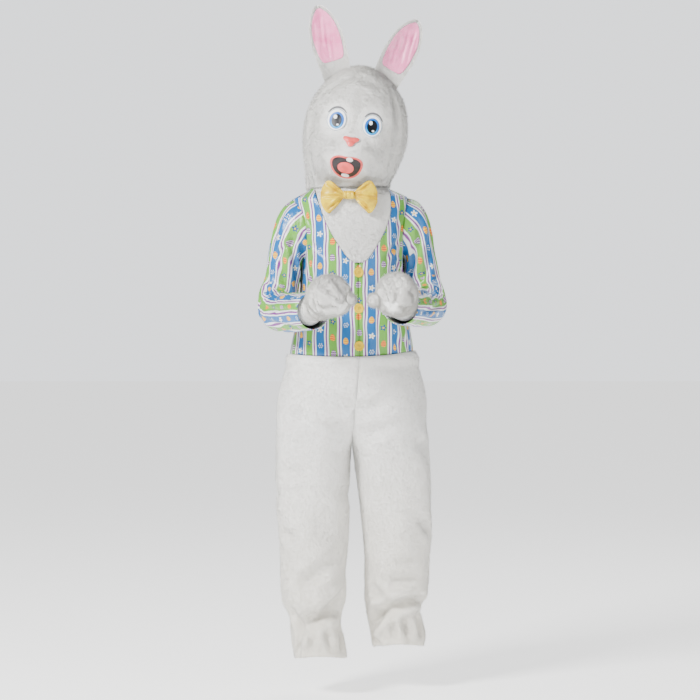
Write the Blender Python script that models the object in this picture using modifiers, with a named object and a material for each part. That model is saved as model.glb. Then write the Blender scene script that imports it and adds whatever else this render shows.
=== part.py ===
"""Bunny costume: a satin-topped plush jumpsuit with a mascot head, a bow tie and mitts, as worn.

The wearer faces -Y with the right side at -X. Sizes are metres, and heights are above the wearer's
floor. The root empty puts the origin between the shoulders, where the wearer carries the costume.
"""
import bpy
import bmesh
import math
from types import SimpleNamespace
from mathutils import Matrix, Vector
from mathutils.bvhtree import BVHTree

SHOULDER_HEIGHT = 1.137
SEAM = 0.0003
SATIN = 0.0018
PLUSH = 0.0055
MITT_WALL = 0.0042
RIGHT = -1
LEFT = 1
UPRIGHT = Vector((0.0, 0.0, 1.0))

# The chest is turned towards the wearer's left, and its left side is a little higher
CHEST_TURN = math.radians(8.0)
CHEST_RISE = 0.030

WAIST_HEIGHT = 0.784
WAIST_DIP = 0.010
WAIST_DIP_REACH = 0.075
CROTCH_HEIGHT = 0.556
ARMPIT_HEIGHT = 1.000
V_HEIGHT = 0.982
NECK_SHIFT = -0.0075


class Table:
    """Rows of named columns, read smoothly between the rows by the value of the first column."""

    def __init__(self, columns, rows):
        self.columns = columns.split()
        self.rows = rows

    def at(self, key, name):
        column = self.columns.index(name)
        rows = self.rows
        if key <= rows[0][0]:
            return rows[0][column]
        if key >= rows[-1][0]:
            return rows[-1][column]
        low = max(i for i in range(len(rows) - 1) if rows[i][0] <= key)
        high = low + 1
        span = rows[high][0] - rows[low][0]
        part = (key - rows[low][0]) / span
        rise = rows[high][column] - rows[low][column]
        start = self.slope(low, column) * span
        end = self.slope(high, column) * span
        value = rows[low][column] + start * part
        value += (3 * rise - 2 * start - end) * part ** 2
        value += (start + end - 2 * rise) * part ** 3
        return value

    def slope(self, row, column):
        """Slope at a row: none at a peak, otherwise the gentler of both sides, so nothing overshoots."""
        if row == 0:
            return self.rise(0, column)
        if row == len(self.rows) - 1:
            return self.rise(row - 1, column)
        before = self.rise(row - 1, column)
        after = self.rise(row, column)
        if before * after <= 0:
            return 0.0
        return 2 * before * after / (before + after)

    def rise(self, row, column):
        low = self.rows[row]
        high = self.rows[row + 1]
        return (high[column] - low[column]) / (high[0] - low[0])


def named(columns, rows):
    return [SimpleNamespace(**dict(zip(columns.split(), row))) for row in rows]


def smooth(low, high, value):
    part = min(1.0, max(0.0, (value - low) / (high - low)))
    return part * part * (3 - 2 * part)


def mix(start, end, part):
    return start + (end - start) * part


def spread(low, high, count):
    return [mix(low, high, i / (count - 1)) for i in range(count)]


# Scene and materials

def clear_scene():
    for thing in list(bpy.data.objects):
        bpy.data.objects.remove(thing, do_unlink=True)


def make_collection(name):
    collection = bpy.data.collections.new(name)
    bpy.context.scene.collection.children.link(collection)
    return collection


def make_root():
    root = bpy.data.objects.new("shoulders", None)
    root.location = (0.0, 0.0, -SHOULDER_HEIGHT)
    bpy.context.scene.collection.objects.link(root)
    return root


def material(name, colour, roughness, metallic=0.0):
    if name in bpy.data.materials:
        return bpy.data.materials[name]
    made = bpy.data.materials.new(name)
    made.use_nodes = True
    shader = made.node_tree.nodes["Principled BSDF"]
    shader.inputs["Base Color"].default_value = (*colour, 1.0)
    shader.inputs["Roughness"].default_value = roughness
    shader.inputs["Metallic"].default_value = metallic
    return made


def plush():
    return material("white_plush", (0.74, 0.72, 0.66), 0.95)


def striped_satin():
    return material("striped_satin", (0.10, 0.42, 0.62), 0.42)


def yellow_satin():
    return material("yellow_satin", (0.84, 0.52, 0.03), 0.40)


def pink_satin():
    return material("pink_satin", (0.85, 0.35, 0.55), 0.38)


def yellow_plastic():
    return material("yellow_plastic", (0.80, 0.52, 0.04), 0.30)


def eye_vinyl():
    return material("eye_vinyl", (0.10, 0.45, 0.75), 0.25)


def salmon_vinyl():
    return material("salmon_vinyl", (0.86, 0.19, 0.16), 0.35)


def black_vinyl():
    return material("black_vinyl", (0.01, 0.01, 0.01), 0.40)


def white_vinyl():
    return material("white_vinyl", (0.85, 0.85, 0.83), 0.35)


# Solids

def add_object(name, mesh, finish):
    thing = bpy.data.objects.new(name, mesh)
    thing.data.materials.append(finish)
    thing.parent = ROOT
    PARTS.objects.link(thing)
    return thing


def rim_loop(rows, closed_across, pointed):
    """Open borders of a grid, as runs of vertices along which the two skins are joined."""
    if closed_across:
        runs = [rows[0] + rows[0][:1]]
        if not pointed:
            runs.append(rows[-1] + rows[-1][:1])
        return runs
    left = [row[0] for row in rows]
    right = [row[-1] for row in rows]
    if pointed:
        return [rows[0], right, left[::-1]]
    return [rows[0], right, rows[-1][::-1], left[::-1]]


def grid_faces(build, rows, closed_across):
    for low, high in zip(rows, rows[1:]):
        if closed_across:
            low = low + low[:1]
            high = high + high[:1]
        for i in range(len(low) - 1):
            corners = [low[i], low[i + 1], high[i + 1], high[i]]
            different = list(dict.fromkeys(corners))
            if len(different) > 2:
                build.faces.new(different)


def solid_between(name, outer, inner, finish, closed_across=False, pointed=False, capped=False):
    """A closed solid between two grids of points, with the same rows and columns in both.

    closed_across joins each row's ends, pointed has drawn the last row into one point, and capped
    fills the last row with a face in each skin.
    """
    build = bmesh.new()
    skins = []
    for points in (outer, inner):
        rows = [[build.verts.new(point) for point in row] for row in points]
        if pointed:
            rows[-1] = [rows[-1][0]] * len(rows[-1])
        skins.append(rows)
        grid_faces(build, rows, closed_across)
        if capped:
            build.faces.new(rows[-1])
    outer_runs = rim_loop(skins[0], closed_across, pointed or capped)
    inner_runs = rim_loop(skins[1], closed_across, pointed or capped)
    for outer_run, inner_run in zip(outer_runs, inner_runs):
        grid_faces(build, [outer_run, inner_run], False)
    loose = [vertex for vertex in build.verts if not vertex.link_faces]
    bmesh.ops.delete(build, geom=loose, context="VERTS")
    bmesh.ops.triangulate(build, faces=build.faces[:])
    bmesh.ops.recalc_face_normals(build, faces=build.faces[:])
    if build.calc_volume(signed=True) < 0:
        bmesh.ops.reverse_faces(build, faces=build.faces[:])
    mesh = bpy.data.meshes.new(name)
    build.to_mesh(mesh)
    build.free()
    mesh.shade_smooth()
    mesh.set_sharp_from_angle(angle=math.radians(50))
    return add_object(name, mesh, finish)


def normal_at(surface, across, along, outward):
    """Unit normal of surface(across, along), on the side that outward(point, along) points to."""
    step = 0.002
    point = surface(across, along)
    span_across = surface(across + step, along) - surface(across - step, along)
    span_along = surface(across, along + step) - surface(across, along - step)
    normal = span_across.cross(span_along).normalized()
    if normal.dot(outward(point, along)) < 0:
        normal = -normal
    return normal


def trim(row, low, high):
    """Shorten a row by low and high at its two ends, along its own line."""
    row = list(row)
    row[0] = row[0] + (row[1] - row[0]).normalized() * low
    row[-1] = row[-1] + (row[-2] - row[-1]).normalized() * high
    return row


def trim_grid(points, sides, ends):
    points = [trim(row, *sides) for row in points]
    columns = [trim(column, *ends) for column in zip(*points)]
    return [list(row) for row in zip(*columns)]


def cloth(name, surface, across, along, wall, outward, finish, pose, under=0.0,
          sides=(SEAM / 2, SEAM / 2), ends=(SEAM / 2, SEAM / 2), apex_normal=None):
    """A sheet on surface(across, along). across(along) lists a row's places, one for each column.

    With an apex_normal, the last row is small and is drawn into one point.
    """
    base = []
    normals = []
    for level in along:
        places = across(level)
        base.append([surface(place, level) for place in places])
        normals.append([normal_at(surface, place, level, outward) for place in places])
    if apex_normal:
        normals[-1] = [apex_normal] * len(normals[-1])
    base = trim_grid(base, sides, ends)
    inner = []
    outer = []
    for points, directions in zip(base, normals):
        inner.append([pose(p + n * under) for p, n in zip(points, directions)])
        outer.append([pose(p + n * (under + wall)) for p, n in zip(points, directions)])
    if apex_normal:
        for skin in (inner, outer):
            middle = sum(skin[-1], Vector()) / len(skin[-1])
            skin[-1] = [middle] * len(skin[-1])
    return solid_between(name, outer, inner, finish, pointed=apex_normal is not None)


# Folds, as soft troughs along straight lines of the unrolled cloth; a negative depth is a ridge

def distance_to_line(spot, start, end):
    line = end - start
    part = min(1.0, max(0.0, (spot - start).dot(line) / line.length_squared))
    return (spot - start - line * part).length


def fold_depth(folds, turn, height, girth_radius):
    """Depth of all folds at a place; each is reached from both ways round."""
    total = 0.0
    for fold in folds:
        start = Vector((girth_radius * math.radians(fold.start_turn), fold.start_height))
        end = Vector((girth_radius * math.radians(fold.end_turn), fold.end_height))
        around = (turn, turn - 2 * math.pi, turn + 2 * math.pi)
        away = min(distance_to_line(Vector((girth_radius * t, height)), start, end) for t in around)
        total += fold.depth * math.exp(-(away / fold.width) ** 2)
    return total


FOLD = "start_turn start_height end_turn end_height depth width"


# Satin top

# Turns go round the body from the centre front, positive towards the wearer's left
TORSO = Table("height half_width front back squareness", (
    (0.784, 0.1395, 0.1110, 0.1060, 2.00),
    (0.802, 0.1375, 0.1120, 0.1065, 2.05),
    (0.840, 0.1290, 0.1100, 0.1020, 2.15),
    (0.890, 0.1190, 0.1060, 0.0960, 2.25),
    (0.940, 0.1145, 0.1040, 0.0970, 2.30),
    (1.000, 0.1140, 0.1030, 0.1010, 2.35),
    (1.050, 0.1205, 0.1000, 0.1030, 2.30),
    (1.100, 0.1260, 0.0940, 0.1000, 2.25),
    (1.137, 0.1300, 0.0860, 0.0920, 2.20),
    (1.148, 0.1050, 0.0795, 0.0845, 2.10),
    (1.156, 0.0885, 0.0730, 0.0790, 2.05),
    (1.166, 0.0840, 0.0705, 0.0760, 2.00),
))
NECKLINE = Table("height half_width", (
    (0.982, 0.0005),
    (0.985, 0.0090),
    (0.994, 0.0215),
    (1.028, 0.0450),
    (1.062, 0.0640),
    (1.100, 0.0765),
    (1.145, 0.0830),
    (1.156, 0.0800),
    (1.166, 0.0770),
))
ARMHOLE = Table("height half_width", (
    (1.000, 0.1140),
    (1.009, 0.1112),
    (1.025, 0.1087),
    (1.047, 0.1078),
    (1.070, 0.1085),
    (1.093, 0.1120),
    (1.113, 0.1185),
    (1.128, 0.1260),
    (1.137, 0.1300),
))
TORSO_FOLDS = named(FOLD, (
    (52, 1.030, 30, 0.930, 0.0030, 0.011),
    (66, 0.985, 44, 0.880, 0.0034, 0.012),
    (-50, 1.020, -27, 0.940, 0.0028, 0.011),
    (-68, 0.970, -40, 0.885, 0.0034, 0.013),
    (24, 0.850, 20, 0.795, 0.0030, 0.010),
    (-28, 0.855, -22, 0.795, 0.0030, 0.011),
    (58, 0.845, 62, 0.795, 0.0032, 0.012),
    (-60, 0.850, -64, 0.795, 0.0032, 0.012),
    (125, 1.040, 150, 0.930, 0.0034, 0.013),
    (-128, 1.030, -148, 0.920, 0.0034, 0.013),
    (118, 0.900, 138, 0.800, 0.0036, 0.013),
    (-115, 0.905, -140, 0.805, 0.0036, 0.013),
    (165, 0.850, 162, 0.795, 0.0028, 0.010),
    (-158, 0.855, -162, 0.795, 0.0028, 0.010),
))
WAIST_LEVELS = (0.784, 0.802, 0.832, 0.870, 0.910, 0.950)
CHEST_LEVELS = (0.982, 0.985, 0.991)
SHOULDER_LEVELS = (1.137, 1.146, 1.156, 1.166)
ARMHOLE_LEVELS = tuple(row[0] for row in ARMHOLE.rows)
PANEL_COLUMNS = 8
BIB_COLUMNS = 9
WAIST_GAP = 0.0005
NECKLINE_TRIM = 0.0004


def power(value, exponent):
    return math.copysign(abs(value) ** exponent, value)


def waist_dip(frontness, height):
    fade = 1 - smooth(0.0, WAIST_DIP_REACH, abs(height - WAIST_HEIGHT))
    return WAIST_DIP * max(0.0, frontness) ** 2 * fade


def torso(turn, height):
    round_off = 2 / TORSO.at(height, "squareness")
    half_width = TORSO.at(height, "half_width")
    depth = TORSO.at(height, "front" if math.cos(turn) > 0 else "back")
    sideways = power(math.sin(turn), round_off)
    frontness = power(math.cos(turn), round_off)
    wrapped = math.remainder(turn, 2 * math.pi)
    shrink = 1 - fold_depth(TORSO_FOLDS, wrapped, height, half_width) / half_width
    x = half_width * sideways * shrink + NECK_SHIFT * smooth(1.08, 1.16, height)
    y = -depth * frontness * shrink
    return Vector((x, y, height - waist_dip(frontness, height)))


def chest_pose(point):
    turned = Matrix.Rotation(CHEST_TURN, 3, "Z") @ point
    turned.z += CHEST_RISE * turned.x
    return turned


def from_axis(point, level):
    return Vector((point.x, point.y, 0.0))


def turn_at(height, half_width):
    """The front turn at which the torso is half_width from its middle."""
    share = min(1.0, half_width / TORSO.at(height, "half_width"))
    return math.asin(share ** (TORSO.at(height, "squareness") / 2))


def neckline_turn(height):
    if height <= V_HEIGHT:
        return 0.0
    return turn_at(height, NECKLINE.at(height, "half_width"))


def armhole_turn(height):
    if ARMPIT_HEIGHT < height < SHOULDER_HEIGHT:
        return turn_at(height, ARMHOLE.at(height, "half_width"))
    return math.pi / 2


def torso_levels():
    return sorted({*WAIST_LEVELS, *CHEST_LEVELS, *ARMHOLE_LEVELS, *SHOULDER_LEVELS})


def make_fronts():
    for side, word in ((RIGHT, "right"), (LEFT, "left")):
        def columns(height):
            return [side * turn for turn in spread(neckline_turn(height), armhole_turn(height), PANEL_COLUMNS)]
        cloth("top_front_" + word, torso, columns, torso_levels(), SATIN, from_axis, striped_satin(),
              chest_pose, sides=(NECKLINE_TRIM, SEAM / 2), ends=(WAIST_GAP / 2, 0.0))


def make_backs():
    for side, word in ((RIGHT, "right"), (LEFT, "left")):
        def columns(height):
            return [side * turn for turn in spread(math.pi, math.pi - armhole_turn(height), PANEL_COLUMNS)]
        cloth("top_back_" + word, torso, columns, torso_levels(), SATIN, from_axis, striped_satin(),
              chest_pose, ends=(WAIST_GAP / 2, 0.0))


def make_bib():
    def columns(height):
        edge = neckline_turn(height)
        return spread(-edge, edge, BIB_COLUMNS)
    levels = [height for height in torso_levels() if height > V_HEIGHT + SEAM]
    cloth("bib", torso, columns, levels, PLUSH, from_axis, plush(), chest_pose,
          sides=(NECKLINE_TRIM, NECKLINE_TRIM), ends=(SEAM, 0.0))


# Plush trousers

# Each leg's centre is measured outwards from the middle, and its turns go from the side seam,
# over the front, to the inseam; negative turns go over the back
HIP_ROWS = (
    (0.568, 0.0865, 0.0882, 0.1055, 0.1130, 0.006),
    (0.585, 0.0805, 0.0940, 0.1090, 0.1175, 0.006),
    (0.610, 0.0690, 0.1050, 0.1140, 0.1230, 0.005),
    (0.640, 0.0545, 0.1175, 0.1180, 0.1260, 0.004),
    (0.674, 0.0370, 0.1315, 0.1200, 0.1260, 0.003),
    (0.729, 0.0140, 0.1450, 0.1190, 0.1190, 0.001),
    (0.766, 0.0020, 0.1495, 0.1165, 0.1110, 0.000),
    (0.784, 0.0000, 0.1465, 0.1130, 0.1080, 0.000),
)
LEG = "height centre half_width front back middle"
LEG_TABLES = {
    RIGHT: Table(LEG, (
        (0.084, 0.0725, 0.0600, 0.0660, 0.0660, -0.012),
        (0.120, 0.0775, 0.0625, 0.0680, 0.0690, -0.012),
        (0.158, 0.0828, 0.0585, 0.0650, 0.0670, -0.010),
        (0.195, 0.0853, 0.0625, 0.0700, 0.0700, -0.009),
        (0.232, 0.0895, 0.0735, 0.0780, 0.0770, -0.008),
        (0.306, 0.0876, 0.0762, 0.0800, 0.0800, -0.004),
        (0.380, 0.0895, 0.0805, 0.0850, 0.0840, 0.000),
        (0.453, 0.0905, 0.0838, 0.0920, 0.0920, 0.004),
        (0.508, 0.0905, 0.0840, 0.0970, 0.0990, 0.006),
        (0.556, 0.0889, 0.0855, 0.1035, 0.1100, 0.006),
    ) + HIP_ROWS),
    LEFT: Table(LEG, (
        (0.100, 0.1085, 0.0600, 0.0660, 0.0660, 0.068),
        (0.125, 0.1095, 0.0650, 0.0680, 0.0690, 0.066),
        (0.150, 0.1010, 0.0632, 0.0650, 0.0670, 0.063),
        (0.189, 0.0940, 0.0632, 0.0700, 0.0700, 0.058),
        (0.227, 0.1036, 0.0735, 0.0780, 0.0770, 0.053),
        (0.302, 0.1056, 0.0757, 0.0800, 0.0800, 0.044),
        (0.377, 0.1022, 0.0790, 0.0850, 0.0840, 0.033),
        (0.451, 0.0998, 0.0832, 0.0920, 0.0920, 0.021),
        (0.508, 0.0968, 0.0853, 0.0970, 0.0990, 0.012),
        (0.556, 0.0890, 0.0868, 0.1035, 0.1100, 0.006),
    ) + HIP_ROWS),
}
LEG_FOLDS = {
    RIGHT: named(FOLD, (
        (150, 0.200, 62, 0.152, 0.0100, 0.016),
        (70, 0.262, 108, 0.252, 0.0050, 0.012),
        (12, 0.375, 34, 0.362, 0.0040, 0.010),
        (118, 0.470, 146, 0.400, 0.0040, 0.015),
        (30, 0.560, 62, 0.500, 0.0040, 0.018),
        (-150, 0.205, -60, 0.165, 0.0090, 0.016),
        (-60, 0.330, -125, 0.300, 0.0055, 0.015),
        (-115, 0.545, -50, 0.520, 0.0050, 0.016),
        (-100, 0.430, -60, 0.405, 0.0045, 0.014),
    )),
    LEFT: named(FOLD, (
        (150, 0.172, 60, 0.212, 0.0100, 0.016),
        (108, 0.250, 40, 0.266, 0.0055, 0.013),
        (10, 0.203, 40, 0.208, 0.0060, 0.011),
        (116, 0.480, 150, 0.420, 0.0040, 0.015),
        (32, 0.570, 60, 0.515, 0.0040, 0.018),
        (-150, 0.175, -55, 0.215, 0.0090, 0.016),
        (-70, 0.345, -130, 0.310, 0.0055, 0.015),
        (-120, 0.550, -55, 0.525, 0.0050, 0.016),
        (-105, 0.440, -60, 0.420, 0.0045, 0.014),
    )),
}
LEG_STEPS = (0.0, 0.05, 0.10, 0.15, 0.20, 0.26, 0.33, 0.41, 0.52, 0.64, 0.76, 0.88, 1.0)
HIP_LEVELS = (0.568, 0.590, 0.620, 0.660, 0.705, 0.748, 0.784)
LEG_COLUMNS = 8
HEM_ARCH = 0.012
HEM_REACH = 0.050


def leg(side, turn, height):
    table = LEG_TABLES[side]
    half_width = table.at(height, "half_width")
    depth = table.at(height, "front" if turn > 0 else "back")
    shrink = 1 - fold_depth(LEG_FOLDS[side], turn, height, half_width) / half_width
    frontness = math.sin(turn)
    x = table.at(height, "centre") + half_width * math.cos(turn) * shrink
    y = table.at(height, "middle") - depth * frontness * shrink
    above_hem = height - table.rows[0][0]
    arch = HEM_ARCH * max(0.0, frontness) ** 2 * (1 - smooth(0.0, HEM_REACH, above_hem))
    return Vector((side * x, y, height + arch - waist_dip(frontness, height)))


def inseam_turn(side, height):
    """The turn at which a leg meets the other one in the middle, or its inseam below the crotch."""
    table = LEG_TABLES[side]
    share = (SEAM / 2 - table.at(height, "centre")) / table.at(height, "half_width")
    return math.acos(max(-1.0, share))


def hip_pose(point):
    """The hips follow the turned chest at the waist and face forwards at the crotch."""
    share = smooth(CROTCH_HEIGHT, WAIST_HEIGHT - WAIST_DIP, point.z)
    turned = Matrix.Rotation(CHEST_TURN * share, 3, "Z") @ point
    turned.z += CHEST_RISE * share * turned.x
    return turned


def make_legs():
    for side, word in ((RIGHT, "right"), (LEFT, "left")):
        table = LEG_TABLES[side]
        levels = [mix(table.rows[0][0], CROTCH_HEIGHT, step) for step in LEG_STEPS] + list(HIP_LEVELS)

        def surface(turn, height):
            return leg(side, turn, height)

        def from_leg_axis(point, height):
            centre = Vector((side * table.at(height, "centre"), table.at(height, "middle"), point.z))
            return point - centre

        for part, facing in (("front", 1), ("back", -1)):
            def columns(height):
                return [facing * turn for turn in spread(0.0, inseam_turn(side, height), LEG_COLUMNS)]
            cloth("leg_%s_%s" % (part, word), surface, columns, levels, PLUSH, from_leg_axis, plush(),
                  hip_pose, under=-PLUSH, ends=(0.0, WAIST_GAP / 2))


# Tubes through rings of points

def grid_normals(rings):
    """Unit normals of a grid of closed rings, away from each ring's middle."""
    normals = []
    for i, ring in enumerate(rings):
        before = rings[max(0, i - 1)]
        after = rings[min(len(rings) - 1, i + 1)]
        middle = sum(ring, Vector()) / len(ring)
        row = []
        for j, point in enumerate(ring):
            around = ring[(j + 1) % len(ring)] - ring[j - 1]
            normal = around.cross(after[j] - before[j]).normalized()
            if normal.dot(point - middle) < 0:
                normal = -normal
            row.append(normal)
        normals.append(row)
    return normals


def tube(name, rings, wall, finish, under=0.0, capped=False):
    """A tube of cloth on closed rings. capped fills its last ring, and leaves the first one open."""
    inner = []
    outer = []
    for points, directions in zip(rings, grid_normals(rings)):
        inner.append([p + n * under for p, n in zip(points, directions)])
        outer.append([p + n * (under + wall) for p, n in zip(points, directions)])
    if capped:
        inner[-1] = [point + (inner[-2][i] - point) * 0.35 for i, point in enumerate(inner[-1])]
    return solid_between(name, outer, inner, finish, closed_across=True, capped=capped)


def oval(centre, first, second, count):
    """A ring round centre, from the point at first, over the one at second."""
    ring = []
    for i in range(count):
        angle = 2 * math.pi * i / count
        ring.append(centre + first * math.cos(angle) + second * math.sin(angle))
    return ring


# Sleeves

# Rings of the shoulder cap, each from its point under the arm to its point over it
SLEEVE_CAP = named("under_out under_height over_out over_height half_depth", (
    (0.1184, 0.994, 0.1475, 1.131, 0.0540),
    (0.1196, 0.987, 0.1650, 1.114, 0.0525),
    (0.1204, 0.978, 0.1765, 1.090, 0.0500),
    (0.1208, 0.966, 0.1840, 1.060, 0.0475),
    (0.1210, 0.952, 0.1900, 1.028, 0.0455),
    (0.1214, 0.936, 0.1950, 0.992, 0.0440),
    (0.1222, 0.922, 0.1995, 0.954, 0.0432),
))
ARMS = {
    RIGHT: SimpleNamespace(elbow=Vector((-0.1790, -0.0420, 0.8720)), cuff=Vector((-0.0850, -0.2050, 0.8740))),
    LEFT: SimpleNamespace(elbow=Vector((0.1740, -0.0260, 0.8830)), cuff=Vector((0.1070, -0.2050, 0.8850))),
}
ELBOW_BEND_RADIUS = 0.0500
ELBOW_STEPS = 5
FOREARM_STEPS = 4
UPPER_RADIUS = 0.0430
ELBOW_RADIUS = 0.0455
CUFF_RADIUS = 0.0405
ARMHOLE_CLEARANCE = 0.0006
SLEEVE_FOLD = "turn along depth turn_width along_width"
SLEEVE_FOLDS = named(SLEEVE_FOLD, (
    (170, 6.5, 0.0055, 60, 0.55),
    (190, 8.8, 0.0065, 55, 0.60),
    (165, 10.3, 0.0050, 60, 0.60),
    (60, 5.0, 0.0040, 40, 0.70),
    (-45, 3.6, 0.0040, 45, 0.80),
    (10, 8.0, -0.0030, 60, 1.00),
    (40, 11.7, 0.0035, 55, 0.55),
    (-100, 12.7, 0.0035, 60, 0.55),
    (-75, 9.9, 0.0045, 45, 0.60),
))


def armhole_ring(side):
    """The armhole's edge, from the shoulder down the front to the armpit and up the back."""
    front = list(reversed(ARMHOLE_LEVELS))
    back = list(ARMHOLE_LEVELS[1:-1])
    places = [(armhole_turn(height), height) for height in front]
    places += [(math.pi - armhole_turn(height), height) for height in back]
    ring = []
    for turn, height in places:
        point = torso(side * turn, height) + normal_at(torso, side * turn, height, from_axis) * SATIN
        ring.append(chest_pose(point + Vector((side * ARMHOLE_CLEARANCE, 0.0, 0.0))))
    return ring


def cap_rings(side, count):
    rings = []
    for row in SLEEVE_CAP:
        under = Vector((side * row.under_out, 0.0, row.under_height))
        over = Vector((side * row.over_out, 0.0, row.over_height))
        ring = oval((under + over) / 2, (over - under) / 2, Vector((0.0, -row.half_depth, 0.0)), count)
        rings.append([chest_pose(point) for point in ring])
    return rings


def arm_rings(side, start_ring, count):
    """Rings round the elbow and along the forearm, square to the arm."""
    arm = ARMS[side]
    start = sum(start_ring, Vector()) / count
    upper = (arm.elbow - start).normalized()
    fore = (arm.cuff - arm.elbow).normalized()
    axis = upper.cross(fore).normalized()
    bend = upper.angle(fore)
    reach = ELBOW_BEND_RADIUS * math.tan(bend / 2)
    bend_start = arm.elbow - upper * reach
    hub = bend_start + axis.cross(upper) * ELBOW_BEND_RADIUS
    over = start_ring[0] - start
    over = (over - upper * over.dot(upper)).normalized()
    ahead = start_ring[count // 4] - start
    ahead = (ahead - upper * ahead.dot(upper) - over * ahead.dot(over)).normalized()
    rings = []
    for step in range(ELBOW_STEPS + 1):
        share = step / ELBOW_STEPS
        turn = Matrix.Rotation(bend * share, 3, axis)
        centre = hub + turn @ (bend_start - hub)
        radius = mix(UPPER_RADIUS, ELBOW_RADIUS, math.sin(math.pi * min(1.0, share + 0.2) / 1.2))
        rings.append(oval(centre, turn @ over * radius, turn @ ahead * radius, count))
    bend_end = centre
    over = turn @ over
    ahead = turn @ ahead
    for step in range(1, FOREARM_STEPS + 1):
        share = step / FOREARM_STEPS
        radius = mix(UPPER_RADIUS + 0.001, CUFF_RADIUS, share)
        rings.append(oval(bend_end.lerp(arm.cuff, share), over * radius, ahead * radius, count))
    return rings


def crumple(rings):
    """Press the sleeve's folds into its rings, towards each ring's middle."""
    count = len(rings[0])
    for i, ring in enumerate(rings[1:], 1):
        middle = sum(ring, Vector()) / count
        for j in range(count):
            for fold in SLEEVE_FOLDS:
                gap = math.remainder(360 * j / count - fold.turn, 360) / fold.turn_width
                away = (i - fold.along) / fold.along_width
                depth = fold.depth * math.exp(-gap ** 2 - away ** 2)
                ring[j] = ring[j] + (middle - ring[j]).normalized() * depth
    return rings


def sleeve_rings(side):
    armhole = armhole_ring(side)
    count = len(armhole)
    cap = cap_rings(side, count)
    return crumple([armhole] + cap + arm_rings(side, cap[-1], count))


def make_sleeves():
    for side, word in ((RIGHT, "right"), (LEFT, "left")):
        tube("sleeve_" + word, sleeve_rings(side), SATIN, striped_satin(), under=-SATIN)


# Mitts

# Rings along the straight line from the wrist to the finger tips, raised off it by lift and
# moved sideways, towards the other hand, by inward
MITT = Table("share lift inward half_height half_width", (
    (0.00, 0.0020, 0.0000, 0.0322, 0.0327),
    (0.14, 0.0040, 0.0010, 0.0240, 0.0255),
    (0.24, 0.0050, 0.0010, 0.0230, 0.0245),
    (0.38, 0.0100, 0.0010, 0.0310, 0.0300),
    (0.55, 0.0200, 0.0010, 0.0395, 0.0385),
    (0.72, 0.0220, 0.0020, 0.0415, 0.0405),
    (0.86, 0.0150, 0.0030, 0.0370, 0.0355),
    (0.95, 0.0050, 0.0040, 0.0260, 0.0260),
    (1.00, -0.0010, 0.0050, 0.0120, 0.0130),
))
MITT_SHARES = (0.0, 0.14, 0.27, 0.38, 0.50, 0.63, 0.75, 0.85, 0.93, 1.0)
MITT_COLUMNS = 14
MITT_INSIDE_CUFF = 0.024
MITT_LENGTH = 0.142
MITT_DIRECTIONS = {
    RIGHT: Vector((0.48, -0.87, 0.12)).normalized(),
    LEFT: Vector((-0.18, -0.98, 0.04)).normalized(),
}


def mitt_frame(side):
    ahead = MITT_DIRECTIONS[side]
    inward = UPRIGHT.cross(ahead).normalized() * -side
    up = (UPRIGHT - ahead * ahead.z).normalized()
    fore = (ARMS[side].cuff - ARMS[side].elbow).normalized()
    start = ARMS[side].cuff - fore * MITT_INSIDE_CUFF
    return start, ahead, inward, up


def mitt_rings(side):
    start, ahead, inward, up = mitt_frame(side)
    rings = []
    for share in MITT_SHARES:
        centre = start + ahead * MITT_LENGTH * share
        centre = centre + up * MITT.at(share, "lift") + inward * MITT.at(share, "inward")
        rings.append(oval(centre, up * MITT.at(share, "half_height"), inward * MITT.at(share, "half_width"),
                          MITT_COLUMNS))
    return rings


def make_mitts():
    for side, word in ((RIGHT, "right"), (LEFT, "left")):
        tube("mitt_" + word, mitt_rings(side), MITT_WALL, plush(), capped=True)


THUMBS = {
    RIGHT: SimpleNamespace(tip=Vector((0.0130, -0.2950, 0.8980)), radius=0.0125, root_share=0.80),
    LEFT: SimpleNamespace(tip=Vector((0.0290, -0.2980, 0.8960)), radius=0.0150, root_share=0.76),
}
THUMB_PROFILE = Table("share radius", ((0.0, 0.96), (0.35, 1.0), (0.65, 0.96), (0.85, 0.74), (1.0, 0.30)))
THUMB_SHARES = (0.0, 0.4, 0.7, 0.9, 1.0)
THUMB_COLUMNS = 9
THUMB_GAP = 0.0008


def make_thumbs():
    """Each thumb runs from its tip straight towards the mitt, and ends just off the mitt's skin."""
    for side, word in ((RIGHT, "right"), (LEFT, "left")):
        thumb = THUMBS[side]
        start, ahead, inward, up = mitt_frame(side)
        target = start + ahead * MITT_LENGTH * thumb.root_share + up * 0.006
        towards = (target - thumb.tip).normalized()
        skin = skin_tree("mitt_" + word)
        across = towards.cross(up).normalized()
        over = across.cross(towards).normalized()
        opening = oval(thumb.tip, over * thumb.radius, across * thumb.radius, THUMB_COLUMNS)
        reaches = [skin.ray_cast(point, towards)[3] for point in opening]
        root = thumb.tip + towards * (min(reach for reach in reaches if reach) - THUMB_GAP)
        rings = []
        for share in THUMB_SHARES:
            radius = thumb.radius * THUMB_PROFILE.at(share, "radius")
            rings.append(oval(root.lerp(thumb.tip, share), over * radius, across * radius, THUMB_COLUMNS))
        tube("thumb_" + word, rings, MITT_WALL, plush(), under=-MITT_WALL, capped=True)


def skin_tree(name):
    """The faces of a finished piece, for laying others on it, with heights above the floor."""
    mesh = bpy.data.objects[name].data
    points = [vertex.co.copy() for vertex in mesh.vertices]
    faces = [tuple(face.vertices) for face in mesh.polygons]
    return BVHTree.FromPolygons(points, faces)


# Mascot head

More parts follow.
